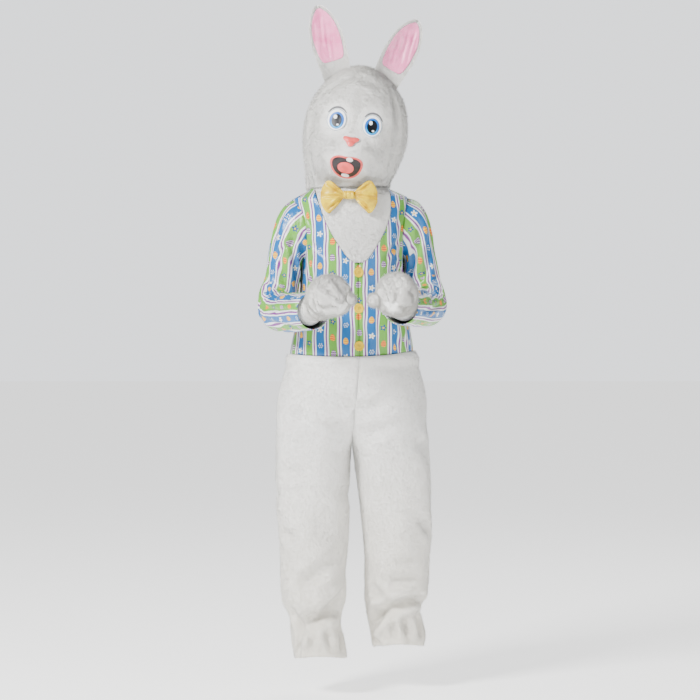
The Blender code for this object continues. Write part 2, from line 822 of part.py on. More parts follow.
# Heights here are above the rim of the neck; turns go round from the middle of the face
HEAD = Table("height half_width front back squareness", (
    (0.000, 0.0970, 0.0870, 0.0925, 2.0),
    (0.008, 0.0966, 0.0875, 0.0930, 2.0),
    (0.014, 0.0972, 0.0985, 0.0956, 2.0),
    (0.022, 0.0990, 0.1170, 0.1000, 2.1),
    (0.034, 0.1025, 0.1280, 0.1060, 2.2),
    (0.052, 0.1075, 0.1330, 0.1140, 2.3),
    (0.072, 0.1125, 0.1310, 0.1205, 2.3),
    (0.100, 0.1190, 0.1250, 0.1265, 2.2),
    (0.130, 0.1215, 0.1190, 0.1290, 2.2),
    (0.160, 0.1190, 0.1145, 0.1275, 2.2),
    (0.190, 0.1100, 0.1060, 0.1210, 2.1),
    (0.214, 0.0980, 0.0950, 0.1110, 2.1),
    (0.236, 0.0825, 0.0800, 0.0950, 2.0),
    (0.254, 0.0650, 0.0620, 0.0740, 2.0),
    (0.268, 0.0450, 0.0420, 0.0500, 2.0),
    (0.276, 0.0260, 0.0240, 0.0280, 2.0),
    (0.280, 0.0010, 0.0010, 0.0010, 2.0),
))
HEAD_RIM = Vector((-0.0074, -0.0010, 1.1625))
HEAD_LEVELS = (0.0, 0.009, 0.017, 0.028, 0.042, 0.058, 0.076, 0.098, 0.124, 0.152, 0.180, 0.207, 0.231, 0.251,
               0.267, 0.276, 0.280)
HEAD_PIVOT = 0.030
HEAD_ROLL = math.radians(9.0)
HEAD_TURN = math.radians(-2.0)
RIM_DIP = 0.003
FACE_SEAM = math.radians(64.0)
FACE_COLUMNS = 14
HOOD_COLUMNS = 8
GATHER_WAVES = 7
GATHER_DEPTH = 0.0026
BUMPS = named("x height out width rise", (
    (0.000, 0.066, 0.0230, 0.040, 0.036),
    (-0.055, 0.074, 0.0080, 0.026, 0.028),
    (0.055, 0.074, 0.0080, 0.026, 0.028),
    (-0.038, 0.168, 0.0040, 0.030, 0.022),
    (0.038, 0.168, 0.0040, 0.030, 0.022),
))


def head(turn, height):
    round_off = 2 / HEAD.at(height, "squareness")
    frontness = power(math.cos(turn), round_off)
    half_width = HEAD.at(height, "half_width")
    gather = GATHER_DEPTH * math.cos(GATHER_WAVES * turn) * smooth(1.1, 1.5, abs(turn))
    gather *= 1 - smooth(0.0, 0.040, height)
    x = half_width * power(math.sin(turn), round_off) * (1 + gather / half_width)
    y = -HEAD.at(height, "front" if frontness > 0 else "back") * frontness * (1 + gather / half_width)
    if frontness > 0:
        for bump in BUMPS:
            away = ((x - bump.x) / bump.width) ** 2 + ((height - bump.height) / bump.rise) ** 2
            y -= bump.out * math.exp(-away) * smooth(0.0, 0.5, frontness)
    dip = RIM_DIP * frontness ** 2 * (1 - smooth(0.0, 0.03, height))
    return Vector((x, y, height - dip))


def head_pose(point):
    """The rim of the neck lies with the chest, and the head above it is rolled and turned."""
    share = smooth(0.0, 0.055, point.z)
    pivot = Vector((0.0, 0.0, HEAD_PIVOT))
    turned = Matrix.Rotation(mix(CHEST_TURN, HEAD_TURN, share), 3, "Z") @ (point - pivot)
    rolled = Matrix.Rotation(HEAD_ROLL * share, 3, "Y") @ turned
    rolled.z += CHEST_RISE * (1 - share) * rolled.x
    return HEAD_RIM + pivot + rolled


def make_head():
    def across_face(height):
        return spread(-FACE_SEAM, FACE_SEAM, FACE_COLUMNS)
    cloth("face", head, across_face, HEAD_LEVELS, PLUSH, from_axis, plush(), head_pose,
          under=-PLUSH, ends=(0.0, 0.0), apex_normal=UPRIGHT)
    for side, word in ((RIGHT, "right"), (LEFT, "left")):
        def across_hood(height):
            return [side * turn for turn in spread(FACE_SEAM, math.pi, HOOD_COLUMNS)]
        cloth("hood_" + word, head, across_hood, HEAD_LEVELS, PLUSH, from_axis, plush(), head_pose,
              under=-PLUSH, ends=(0.0, 0.0), apex_normal=UPRIGHT)


# Ears

EAR = Table("share half_width", (
    (0.00, 0.0330),
    (0.20, 0.0365),
    (0.45, 0.0395),
    (0.62, 0.0375),
    (0.78, 0.0305),
    (0.90, 0.0205),
    (0.97, 0.0115),
    (1.00, 0.0040),
))
EAR_SHARES = (0.0, 0.12, 0.26, 0.42, 0.58, 0.72, 0.83, 0.91, 0.97, 1.0)
EAR_COLUMNS = 7
EAR_CUP = 0.0130
EAR_THICKNESS = 0.0090
EAR_EDGE = 0.0030
EAR_GAP = 0.0009
EARS = {
    RIGHT: SimpleNamespace(base=Vector((-0.0330, -0.004, 1.4230)), tip=Vector((-0.0795, 0.006, 1.5825)), turn=-6),
    LEFT: SimpleNamespace(base=Vector((0.0725, -0.004, 1.4060)), tip=Vector((0.1510, 0.006, 1.5485)), turn=14),
}
LINING = Table("share half_width", (
    (0.19, 0.0230),
    (0.24, 0.0285),
    (0.50, 0.0325),
    (0.70, 0.0290),
    (0.85, 0.0185),
    (0.93, 0.0090),
    (0.955, 0.0030),
))
LINING_SHARES = (0.19, 0.24, 0.36, 0.50, 0.64, 0.77, 0.87, 0.93, 0.955)
LINING_COLUMNS = 6
LINING_GAP = 0.0009


def ear_frame(side):
    ear = EARS[side]
    up = (ear.tip - ear.base).normalized()
    facing = Matrix.Rotation(math.radians(ear.turn), 3, "Z") @ Vector((0.0, -1.0, 0.0))
    facing = (facing - up * facing.dot(up)).normalized()
    return up, facing, up.cross(facing).normalized()


def ear_front(side, across, share):
    """The hollow front of an ear, at a distance across from its middle line."""
    up, facing, sideways = ear_frame(side)
    ear = EARS[side]
    cup = EAR_CUP * (across / EAR.at(share, "half_width")) ** 2 * (1 - 0.5 * share)
    return ear.base.lerp(ear.tip, share) + sideways * across + facing * cup


def seat_on_head(side, point, skin):
    """Where a point of the ear's base, moved along the ear, stands just off the head."""
    up = ear_frame(side)[0]
    hit = skin.ray_cast(point + up * 0.1, -up)[0]
    return hit + up * EAR_GAP


def make_ears():
    skins = [skin_tree(name) for name in ("face", "hood_right", "hood_left")]
    for side, word in ((RIGHT, "right"), (LEFT, "left")):
        facing = ear_frame(side)[1]
        front = []
        back = []
        for share in EAR_SHARES:
            half_width = EAR.at(share, "half_width")
            front.append([])
            back.append([])
            for across in spread(-half_width, half_width, EAR_COLUMNS):
                roundness = math.sqrt(1 - min(1.0, (across / half_width) ** 2))
                point = ear_front(side, across, share)
                front[-1].append(point)
                back[-1].append(point - facing * mix(EAR_EDGE, EAR_THICKNESS, roundness * (1 - share * 0.4)))
        for rows in (front, back):
            for i, point in enumerate(rows[0]):
                seats = [seat_on_head(side, point, skin) for skin in skins if hits_head(side, point, skin)]
                rows[0][i] = max(seats, key=lambda seat: seat.dot(ear_frame(side)[0]))
        solid_between("ear_" + word, front, back, plush())


def hits_head(side, point, skin):
    up = ear_frame(side)[0]
    return skin.ray_cast(point + up * 0.1, -up)[0] is not None


def make_ear_linings():
    for side, word in ((RIGHT, "right"), (LEFT, "left")):
        def surface(across, share):
            return ear_front(side, across, share)

        def columns(share):
            return spread(-LINING.at(share, "half_width"), LINING.at(share, "half_width"), LINING_COLUMNS)

        def outward(point, share):
            return ear_frame(side)[1]
        cloth("ear_lining_" + word, surface, columns, LINING_SHARES, SATIN, outward, pink_satin(),
              stay, under=LINING_GAP)


def stay(point):
    return point


# Applied pieces of the face, laid on its front skin in the head's own directions

PATCH_REACH = 0.007
VINYL = 0.0012


def smile(angle):
    """Outline of the open mouth: nearly straight above, round and deep below."""
    up = math.sin(angle)
    across = 0.0345 * power(math.cos(angle), 0.9)
    if up > 0:
        return across, 0.0150 * up ** 0.7 - 0.0035 * math.exp(-(across / 0.008) ** 2)
    return across * (1 - 0.10 * abs(up)), -0.0280 * abs(up) ** 0.9


def nose_outline(angle):
    """A triangle with round corners, point down."""
    reach = 0.0135 + 0.0042 * math.cos(3 * (angle + math.pi / 2))
    return reach * math.cos(angle) * 1.10, reach * math.sin(angle) * 0.78


def oval_outline(half_width, half_height):
    def outline(angle):
        return half_width * math.cos(angle), half_height * math.sin(angle)
    return outline


def shrunk(outline, margin):
    def smaller(angle):
        across, up = outline(angle)
        keep = 1 - margin / math.hypot(across, up)
        return across * keep, up * keep
    return smaller


# Each is raised over the skin by lift, and its middle swells by crown
PATCHES = named("name x height outline lift wall crown columns rings finish", (
    ("eye_right", -0.0400, 0.1370, oval_outline(0.0195, 0.0225), 0.0009, VINYL, 0.0018, 16, 3, eye_vinyl()),
    ("eye_left", 0.0400, 0.1345, oval_outline(0.0195, 0.0225), 0.0009, VINYL, 0.0018, 16, 3, eye_vinyl()),
    ("nose", 0.0000, 0.0920, nose_outline, 0.0008, 0.0020, 0.0040, 15, 2, salmon_vinyl()),
    ("mouth", -0.0020, 0.0420, smile, 0.0014, VINYL, 0.0, 20, 4, salmon_vinyl()),
    ("mouth_inner", -0.0020, 0.0420, shrunk(smile, 0.0030), 0.0034, VINYL, 0.0, 20, 4, black_vinyl()),
    ("tongue", -0.0020, 0.0355, oval_outline(0.0165, 0.0100), 0.0054, VINYL, 0.0012, 12, 2, salmon_vinyl()),
    ("teeth_upper", 0.0040, 0.0515, oval_outline(0.0075, 0.0042), 0.0054, VINYL, 0.0008, 10, 1, white_vinyl()),
    ("teeth_lower", -0.0020, 0.0215, oval_outline(0.0090, 0.0032), 0.0054, VINYL, 0.0008, 10, 1, white_vinyl()),
))


def skin_hit(skin, x, height):
    """The point of the face's skin behind a place in front of the head."""
    pivot = Vector((0.0, 0.0, HEAD_PIVOT))
    turn = Matrix.Rotation(HEAD_ROLL, 3, "Y") @ Matrix.Rotation(HEAD_TURN, 3, "Z")
    before = HEAD_RIM + pivot + turn @ (Vector((x, -0.30, height)) - pivot)
    return skin.ray_cast(before, turn @ Vector((0.0, 1.0, 0.0)))[0]


def skin_point(skin, x, height, lift):
    """A place on the face, moved out along the mean normal of the skin around it."""
    level = skin_hit(skin, x + PATCH_REACH, height) - skin_hit(skin, x - PATCH_REACH, height)
    rising = skin_hit(skin, x, height + PATCH_REACH) - skin_hit(skin, x, height - PATCH_REACH)
    return skin_hit(skin, x, height) + level.cross(rising).normalized() * lift


def make_patches():
    skin = skin_tree("face")
    for patch in PATCHES:
        back = []
        front = []
        for ring in range(patch.rings):
            share = 1 - ring / patch.rings
            back.append([])
            front.append([])
            for i in range(patch.columns):
                across, up = patch.outline(2 * math.pi * i / patch.columns)
                x = patch.x + across * share
                height = patch.height + up * share
                back[-1].append(skin_point(skin, x, height, patch.lift))
                lift = patch.lift + patch.wall + patch.crown * (1 - share ** 2)
                front[-1].append(skin_point(skin, x, height, lift))
        solid_between(patch.name, front, back, patch.finish, closed_across=True, capped=True)


# Bow tie

BOW_CENTRE = Vector((-0.0067, 0.0, 1.1375))
BOW_GAP = 0.0004
KNOT_HALF_WIDTH = 0.0115
KNOT_HALF_DEPTH = 0.0105
KNOT_HALF_HEIGHT = 0.0100
KNOT_TAPER = 0.06
BOW_SATIN = 0.0018
KNOT_SHARES = (-1.0, -0.5, 0.0, 0.5, 1.0)
KNOT_COLUMNS = 14
LOBE = Table("out half_height half_depth drop", (
    (0.0070, 0.0062, 0.0038, 0.0000),
    (0.0120, 0.0066, 0.0044, 0.0000),
    (0.0160, 0.0110, 0.0070, 0.0005),
    (0.0220, 0.0185, 0.0105, 0.0015),
    (0.0350, 0.0305, 0.0135, 0.0030),
    (0.0480, 0.0388, 0.0125, 0.0045),
    (0.0560, 0.0300, 0.0095, 0.0045),
    (0.0640, 0.0110, 0.0060, 0.0045),
))
LOBE_STATIONS = (0.0070, 0.0120, 0.0160, 0.0230, 0.0330, 0.0440, 0.0530, 0.0600, 0.0640)
LOBE_COLUMNS = 11
LOBE_BACK = 0.4
LOBE_CREASES = named("level depth width", (
    (-0.62, 0.0030, 0.18),
    (-0.12, 0.0034, 0.17),
    (0.40, 0.0030, 0.18),
))


def knot_swell(share):
    return 1 - KNOT_TAPER * share ** 2


def bow_middle():
    """The knot's middle, with its round back just in front of the bib."""
    skin = skin_tree("bib")
    places = []
    for across in (-1.0, -0.5, 0.0, 0.5, 1.0):
        swell = knot_swell(across)
        for up in (-0.8, -0.6, -0.3, 0.0, 0.3):
            start = BOW_CENTRE + Vector((KNOT_HALF_WIDTH * across, -0.3, KNOT_HALF_HEIGHT * up * swell))
            front = skin.ray_cast(start, Vector((0.0, 1.0, 0.0)))[0].y
            places.append(front - KNOT_HALF_DEPTH * swell * math.sqrt(1 - up ** 2))
    return Vector((BOW_CENTRE.x, min(places) - BOW_GAP, BOW_CENTRE.z))


def make_knot(middle):
    rings = []
    for share in KNOT_SHARES:
        swell = knot_swell(share)
        centre = middle + Vector((KNOT_HALF_WIDTH * share, 0.0, 0.0))
        depth = Vector((0.0, -KNOT_HALF_DEPTH * swell, 0.0))
        rings.append(oval(centre, depth, UPRIGHT * KNOT_HALF_HEIGHT * swell, KNOT_COLUMNS))
    tube("bow_knot", rings, BOW_SATIN, yellow_satin(), under=-BOW_SATIN)


def lobe_point(side, middle, level, turn):
    """A lobe runs from the knot out over its front, round its end and back to the knot."""
    start = LOBE_STATIONS[0]
    out = mix(start, LOBE_STATIONS[-1], math.sin(turn))
    fullness = LOBE.at(out, "half_depth") * (1 - 0.55 * level ** 2)
    near_knot = 1 - 0.75 * smooth(0.015, 0.060, out)
    crease = sum(c.depth * math.exp(-((level - c.level) / c.width) ** 2) for c in LOBE_CREASES) * near_knot
    crease *= smooth(start + 0.003, start + 0.014, out)
    depth = -(fullness - crease) * power(math.cos(turn), 0.8)
    if depth > 0:
        depth *= LOBE_BACK
    up = level * LOBE.at(out, "half_height") - LOBE.at(out, "drop")
    return middle + Vector((side * out, depth, up))


def lobe_turns():
    """Turns that reach each station on the front, and then again on the back."""
    start = LOBE_STATIONS[0]
    span = LOBE_STATIONS[-1] - start
    turns = [math.asin((station - start) / span) for station in LOBE_STATIONS]
    return turns + [math.pi - turn for turn in reversed(turns[:-1])]


def make_lobes(middle):
    for side, word in ((RIGHT, "right"), (LEFT, "left")):
        def surface(level, turn):
            return lobe_point(side, middle, level, turn)

        def columns(turn):
            return spread(-1.0, 1.0, LOBE_COLUMNS)

        def outward(point, turn):
            out = abs(point.x - middle.x)
            return Vector((side * max(0.0, out - LOBE_STATIONS[-3]) * 3, point.y - middle.y, 0.0))
        cloth("bow_" + word, surface, columns, lobe_turns(), BOW_SATIN, outward, yellow_satin(), stay,
              under=-BOW_SATIN, sides=(0.0, 0.0), ends=(0.0, 0.0))


# Buttons

BUTTON_HEIGHTS = {"top": 0.9630, "middle": 0.8815, "bottom": 0.8055}
BUTTON_THICKNESS = 0.0034
BUTTON_GAP = 0.0004
BUTTON_STEPS = 16
BUTTON_HOLE_RADIUS = 0.0012
BUTTON_HOLE_OFFSET = 0.0024
BUTTON_PROFILE = named("out up", (
    (0.0000, 0.0022),
    (0.0072, 0.0023),
    (0.0084, 0.0034),
    (0.0106, 0.0034),
    (0.0116, 0.0020),
    (0.0110, 0.0000),
    (0.0000, 0.0000),
))


def make_buttons():
    for word, height in BUTTON_HEIGHTS.items():
        point = torso(0.0, height)
        normal = normal_at(torso, 0.0, height, from_axis)
        base = chest_pose(point + normal * (SATIN + BUTTON_GAP))
        facing = (chest_pose(point + normal) - chest_pose(point)).normalized()
        mesh = bpy.data.meshes.new("button_profile")
        build = bmesh.new()
        places = [build.verts.new((row.out, 0.0, row.up)) for row in BUTTON_PROFILE]
        for first, second in zip(places, places[1:]):
            build.edges.new((first, second))
        build.to_mesh(mesh)
        build.free()
        button = add_object("button_" + word, mesh, yellow_plastic())
        button.location = base
        button.rotation_euler = facing.to_track_quat("Z", "Y").to_euler()
        screw = button.modifiers.new("turned", "SCREW")
        screw.steps = BUTTON_STEPS
        screw.render_steps = BUTTON_STEPS
        screw.use_merge_vertices = True
        screw.merge_threshold = 0.0001
        drill(button)


def drill(button):
    """Four thread holes, cut by one cutter for each."""
    for i in range(4):
        angle = math.pi / 4 + i * math.pi / 2
        build = bmesh.new()
        place = Matrix.Translation((BUTTON_HOLE_OFFSET * math.cos(angle), BUTTON_HOLE_OFFSET * math.sin(angle),
                                    BUTTON_THICKNESS / 2))
        bmesh.ops.create_cone(build, cap_ends=True, segments=6, radius1=BUTTON_HOLE_RADIUS,
                              radius2=BUTTON_HOLE_RADIUS, depth=BUTTON_THICKNESS * 3, matrix=place)
        mesh = bpy.data.meshes.new("hole")
        build.to_mesh(mesh)
        build.free()
        cutter = bpy.data.objects.new("%s_hole_%d" % (button.name, i + 1), mesh)
        cutter.parent = button
        cutter.hide_render = True
        cutter.display_type = "WIRE"
        CUTTERS.objects.link(cutter)
        cut = button.modifiers.new("hole_%d" % (i + 1), "BOOLEAN")
        cut.operation = "DIFFERENCE"
        cut.object = cutter


clear_scene()
PARTS = make_collection("bunny_costume")
CUTTERS = make_collection("cutters")
ROOT = make_root()
make_fronts()
make_backs()
make_bib()
make_legs()
make_sleeves()
make_mitts()
make_thumbs()
make_head()
make_ears()
make_ear_linings()
make_patches()
BOW_MIDDLE = bow_middle()
make_knot(BOW_MIDDLE)
make_lobes(BOW_MIDDLE)
make_buttons()
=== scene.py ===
"""Looks of the bunny costume: its cloth, print, pile, face, light and camera.

Each piece is a fine copy of the frame's solid, creased by the listed folds. Heights in the tables
are above the wearer's floor, and the frame's origin is SHOULDER_HEIGHT above it.
"""
import math
import bmesh
import bpy
import numpy as np
from types import SimpleNamespace
from mathutils import Matrix, Vector
from mathutils.bvhtree import BVHTree


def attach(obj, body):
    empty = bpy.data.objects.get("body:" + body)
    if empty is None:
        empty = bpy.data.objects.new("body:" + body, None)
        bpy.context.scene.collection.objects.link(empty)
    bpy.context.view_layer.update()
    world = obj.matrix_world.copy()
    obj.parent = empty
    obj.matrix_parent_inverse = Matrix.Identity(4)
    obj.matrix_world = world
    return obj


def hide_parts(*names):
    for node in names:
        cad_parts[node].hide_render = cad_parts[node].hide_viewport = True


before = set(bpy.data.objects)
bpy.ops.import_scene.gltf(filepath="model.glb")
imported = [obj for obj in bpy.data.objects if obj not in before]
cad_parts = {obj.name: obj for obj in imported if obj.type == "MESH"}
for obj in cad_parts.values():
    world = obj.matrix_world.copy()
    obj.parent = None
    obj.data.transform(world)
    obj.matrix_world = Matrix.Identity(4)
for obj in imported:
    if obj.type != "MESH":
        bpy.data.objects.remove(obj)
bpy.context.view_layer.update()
SHOULDER_HEIGHT = 1.137


def named(columns, rows):
    return [SimpleNamespace(**dict(zip(columns.split(), row))) for row in rows]


def both_sides(rows):
    """The rows, those with {} in their first entry once for the right and once for the left."""
    for row in rows:
        for side in ("right", "left") if "{}" in row[0] else ("",):
            yield [value.format(side) if isinstance(value, str) else value for value in row]


def smooth(low, high, value):
    part = np.clip((value - low) / (high - low), 0.0, 1.0)
    return part * part * (3 - 2 * part)


def unit(vectors):
    return vectors / np.maximum(np.linalg.norm(vectors, axis=-1, keepdims=True), 1e-12)


# Materials are built from terms

class Term:
    """A value in a node tree. Arithmetic on terms adds Math nodes."""

    def __init__(self, tree, socket):
        self.tree = tree
        self.socket = socket

    def math(self, operation, *others, clamp=False):
        node = self.tree.nodes.new("ShaderNodeMath")
        node.operation = operation
        node.use_clamp = clamp
        for slot, value in enumerate((self,) + others):
            feed(self.tree, value, node.inputs[slot])
        return Term(self.tree, node.outputs[0])

    def __add__(self, other):
        return self.math("ADD", other)

    def __sub__(self, other):
        return self.math("SUBTRACT", other)

    def __mul__(self, other):
        return self.math("MULTIPLY", other)

    def __truediv__(self, other):
        return self.math("DIVIDE", other)

    def wrapped(self, half):
        return self.math("WRAP", half, -half)

    def below(self, limit, soft):
        """1 where the term is less than limit, 0 where it is more, with a soft edge."""
        return ((self - limit) * (-1 / soft)).math("ADD", 0.5, clamp=True)

    def size(self):
        return self.math("ABSOLUTE")

    def either(self, other):
        return self.math("MAXIMUM", other)


def feed(tree, value, socket):
    if isinstance(value, Term):
        tree.links.new(value.socket, socket)
    else:
        socket.default_value = value


def hypot(first, second):
    return (first * first + second * second).math("SQRT")


class Finish:
    """A material under construction: a Principled shader and the terms that feed it."""

    def __init__(self, name, roughness=0.5, sheen=0.0, specular=0.5, coat=0.0):
        self.material = bpy.data.materials.new(name)
        self.material.use_nodes = True
        self.tree = self.material.node_tree
        self.shader = self.tree.nodes["Principled BSDF"]
        settings = {"Roughness": roughness, "Sheen Weight": sheen, "Specular IOR Level": specular,
                    "Coat Weight": coat}
        for socket, value in settings.items():
            self.shader.inputs[socket].default_value = value

    def add(self, kind, **inputs):
        node = self.tree.nodes.new(kind)
        for socket, value in inputs.items():
            feed(self.tree, value, node.inputs[socket.replace("_", " ")])
        return node

    def place(self, attribute):
        """The three parts of a vector attribute of the mesh."""
        node = self.add("ShaderNodeAttribute")
        node.attribute_name = attribute
        return self.parts(node.outputs["Vector"])

    def parts(self, socket):
        split = self.add("ShaderNodeSeparateXYZ", Vector=Term(self.tree, socket))
        return [Term(self.tree, output) for output in split.outputs]

    def object_place(self):
        return Term(self.tree, self.add("ShaderNodeTexCoord").outputs["Object"])

    def stretched(self, place, scale):
        node = self.add("ShaderNodeMapping", Vector=place)
        node.inputs["Scale"].default_value = scale
        return Term(self.tree, node.outputs[0])

    def noise(self, place, scale, detail=3.0, roughness=0.5):
        node = self.add("ShaderNodeTexNoise", Vector=place, Scale=scale, Detail=detail, Roughness=roughness)
        return Term(self.tree, node.outputs["Fac"])

    def paint(self, base, mask, colour):
        """base, with colour where mask is 1. Colours are terms or linear (r, g, b)."""
        node = self.add("ShaderNodeMix")
        node.data_type = "RGBA"
        feed(self.tree, mask, node.inputs[0])
        for value, socket in ((base, node.inputs[6]), (colour, node.inputs[7])):
            feed(self.tree, value if isinstance(value, Term) else (*value, 1.0), socket)
        return Term(self.tree, node.outputs[2])

    def colour(self, term):
        feed(self.tree, term, self.shader.inputs["Base Color"])

    def bump(self, height, distance):
        node = self.add("ShaderNodeBump", Height=height, Distance=distance)
        self.tree.links.new(node.outputs[0], self.shader.inputs["Normal"])


def linear(red, green, blue):
    """A linear colour from its sRGB parts, 0 to 255."""
    return tuple((value / 255) ** 2.2 for value in (red, green, blue))


# Lines through the hollow pieces, and places on their cloth

class Axis:
    """A smooth line through a hollow piece: how far along it, and how far round it, points lie."""

    SAMPLES = 160

    def __init__(self, points, ahead):
        points = np.array(points, float)
        points[:, 2] -= SHOULDER_HEIGHT
        knots = np.vstack([2 * points[0] - points[1], points, 2 * points[-1] - points[-2]])
        spots = []
        for share in np.linspace(0, len(points) - 1, self.SAMPLES):
            first = min(int(share), len(points) - 2)
            a, b, c, d = knots[first:first + 4]
            x = share - first
            spots.append(0.5 * (2 * b + (c - a) * x + (2 * a - 5 * b + 4 * c - d) * x ** 2
                                + (3 * b - a - 3 * c + d) * x ** 3))
        self.spots = np.array(spots)
        self.tangents = unit(np.gradient(self.spots, axis=0))
        steps = np.linalg.norm(np.diff(self.spots, axis=0), axis=1)
        self.along = np.concatenate([[0.0], np.cumsum(steps)])
        ahead = np.array(ahead, float)
        self.ahead = []
        for tangent in self.tangents:
            ahead = unit(ahead - tangent * ahead.dot(tangent))
            self.ahead.append(ahead)
        self.ahead = np.array(self.ahead)
        self.side = np.cross(self.tangents, self.ahead)

    def read(self, points):
        """Distance along the axis, turn round it, distance from it and outward direction."""
        nearest = np.empty(len(points), int)
        for start in range(0, len(points), 20000):
            block = points[start:start + 20000]
            nearest[start:start + 20000] = np.linalg.norm(block[:, None] - self.spots, axis=2).argmin(1)
        away = points - self.spots[nearest]
        forward = (away * self.tangents[nearest]).sum(1)
        along = self.along[nearest] + forward
        outward = away - self.tangents[nearest] * forward[:, None]
        turn = np.arctan2((outward * self.side[nearest]).sum(1), (outward * self.ahead[nearest]).sum(1))
        return along, turn, np.linalg.norm(outward, axis=1), unit(outward)


CHEST_TURN = math.radians(8.0)
CHEST_AHEAD = (math.sin(CHEST_TURN), -math.cos(CHEST_TURN), 0.0)
AXES = {
    "torso": Axis([(0.0, 0.0, 0.740), (0.0, 0.0, 0.900), (0.0, 0.0, 1.060), (-0.004, 0.0, 1.130),
                   (-0.007, 0.0, 1.200)], CHEST_AHEAD),
    "sleeve_right": Axis([(-0.105, -0.015, 1.085), (-0.132, -0.019, 1.059), (-0.151, -0.021, 1.008),
                          (-0.160, -0.022, 0.933), (-0.170, -0.040, 0.894), (-0.156, -0.081, 0.874),
                          (-0.121, -0.143, 0.873), (-0.085, -0.205, 0.874), (-0.071, -0.229, 0.874)],
                         (0.0, -1.0, 0.0)),
    "sleeve_left": Axis([(0.105, 0.015, 1.092), (0.132, 0.019, 1.066), (0.151, 0.021, 1.017),
                         (0.160, 0.023, 0.943), (0.171, -0.020, 0.895), (0.164, -0.053, 0.884),
                         (0.135, -0.129, 0.884), (0.107, -0.205, 0.885), (0.097, -0.231, 0.885)],
                        (0.0, -1.0, 0.0)),
    "leg_right": Axis([(-0.0725, -0.012, 0.060), (-0.0853, -0.009, 0.195), (-0.0895, -0.002, 0.340),
                       (-0.0905, 0.006, 0.508), (-0.0805, 0.006, 0.590), (-0.0700, 0.002, 0.700),
                       (-0.0700, 0.0, 0.800)], (0.0, -1.0, 0.0)),
    "leg_left": Axis([(0.1085, 0.068, 0.076), (0.0960, 0.058, 0.189), (0.1040, 0.040, 0.330),
                      (0.0968, 0.012, 0.508), (0.0805, 0.006, 0.590), (0.0700, 0.002, 0.700),
                      (0.0700, 0.0, 0.800)], (0.0, -1.0, 0.0)),
    "head": Axis([(-0.0074, 0.0, 1.150), (-0.0060, 0.0, 1.200), (0.0060, 0.0, 1.280),
                  (0.0260, 0.0, 1.400), (0.0370, 0.0, 1.470)], (0.0, -1.0, 0.0)),
    "mitt_right": Axis([(-0.109, -0.163, 0.872), (-0.087, -0.201, 0.880), (-0.071, -0.230, 0.890),
                        (-0.054, -0.259, 0.906), (-0.037, -0.286, 0.904), (-0.017, -0.316, 0.882)],
                       (0.0, 0.0, 1.0)),
    "mitt_left": Axis([(0.119, -0.160, 0.884), (0.111, -0.202, 0.890), (0.105, -0.235, 0.897),
                       (0.098, -0.269, 0.910), (0.091, -0.300, 0.905), (0.081, -0.335, 0.880)],
                      (0.0, 0.0, 1.0)),
}
AXES["torso_back"] = AXES["torso"]
GIRTHS = {"torso": 0.740, "torso_back": 0.740, "sleeve_right": 0.290, "sleeve_left": 0.290, "leg_right": 0.500,
          "leg_left": 0.500, "head": 0.750, "mitt_right": 0.250, "mitt_left": 0.250}
NO_GIRTH = 10.0


def round_torso(turn, height):
    """Distance round the body from the centre front, on an oval of the chest's size at that height."""
    levels = (0.784, 0.840, 0.890, 0.940, 1.000, 1.050, 1.100, 1.137, 1.166)
    half_width = np.interp(height, levels, (0.1410, 0.1310, 0.1210, 0.1165, 0.1160, 0.1225, 0.1280, 0.1320, 0.0860))
    depth = np.interp(height, levels, (0.1120, 0.1110, 0.1060, 0.1040, 0.1050, 0.1040, 0.0990, 0.0900, 0.0740))
    angle = np.arctan2(np.sin(turn) / half_width, np.cos(turn) / depth)
    total = np.zeros_like(angle)
    steps = 24
    for step in range(steps):
        here = angle * (step + 0.5) / steps
        total += np.hypot(half_width * np.cos(here), depth * np.sin(here)) * angle / steps
    return total


CROTCH_HEIGHT = 0.600


def cloth_places(region, points):
    """Distance round, distance along and outward direction on a region's cloth."""
    along, turn, _, outward = AXES[region].read(points)
    height = points[:, 2] + SHOULDER_HEIGHT
    if region == "torso":
        return round_torso(turn, height), height, outward
    if region == "torso_back":
        # Measured from the centre back, so that the stripes run straight down there
        behind = (math.pi - np.abs(turn)) * np.sign(turn)
        return np.sign(turn) * GIRTHS["torso"] / 2 - round_torso(behind, height), height, outward
    if region.startswith("leg"):
        trunk = smooth(CROTCH_HEIGHT - 0.02, CROTCH_HEIGHT + 0.06, height)[:, None]
        outward = unit(outward * (1 - trunk) + unit(points * (1.0, 1.0, 0.0)) * trunk)
    return turn * GIRTHS[region] / (2 * math.pi), along, outward


# Creases, each a soft trough with a low ridge on either side. Their table is in millimetres: rounds and alongs
# are distances on the cloth of a region, and bow bends the line sideways

CREASE = "from_round from_along to_round to_along depth width bow"
RIDGE_HEIGHT, RIDGE_AWAY, RIDGE_SPREAD = 0.42, 1.75, 0.75
END_DEPTH, END_TAPER = 0.25, 0.7


def crease_depth(creases, around, along, girth, wider):
    """How deep the creases sink each place. They are laid one lap either way too, for where a tube closes."""
    total = np.zeros(len(around))
    for crease in creases:
        start = np.array((crease.from_round, crease.from_along))
        line = np.array((crease.to_round, crease.to_along)) - start
        length = np.hypot(*line)
        line = line / length
        for lap in (-girth, 0.0, girth):
            gap = np.stack([around + lap, along], 1) - start
            part = np.clip(gap @ line / length, 0.0, 1.0)
            sideways = gap @ np.array((-line[1], line[0])) - crease.bow * np.sin(math.pi * part)
            beyond = gap @ line - part * length
            away = np.hypot(sideways, beyond) / (crease.width * wider)
            fade = END_DEPTH + (1 - END_DEPTH) * np.sin(math.pi * part) ** END_TAPER
            trough = np.exp(-away ** 2) - RIDGE_HEIGHT * np.exp(-((away - RIDGE_AWAY) / RIDGE_SPREAD) ** 2)
            total += crease.depth * fade * trough
    return total


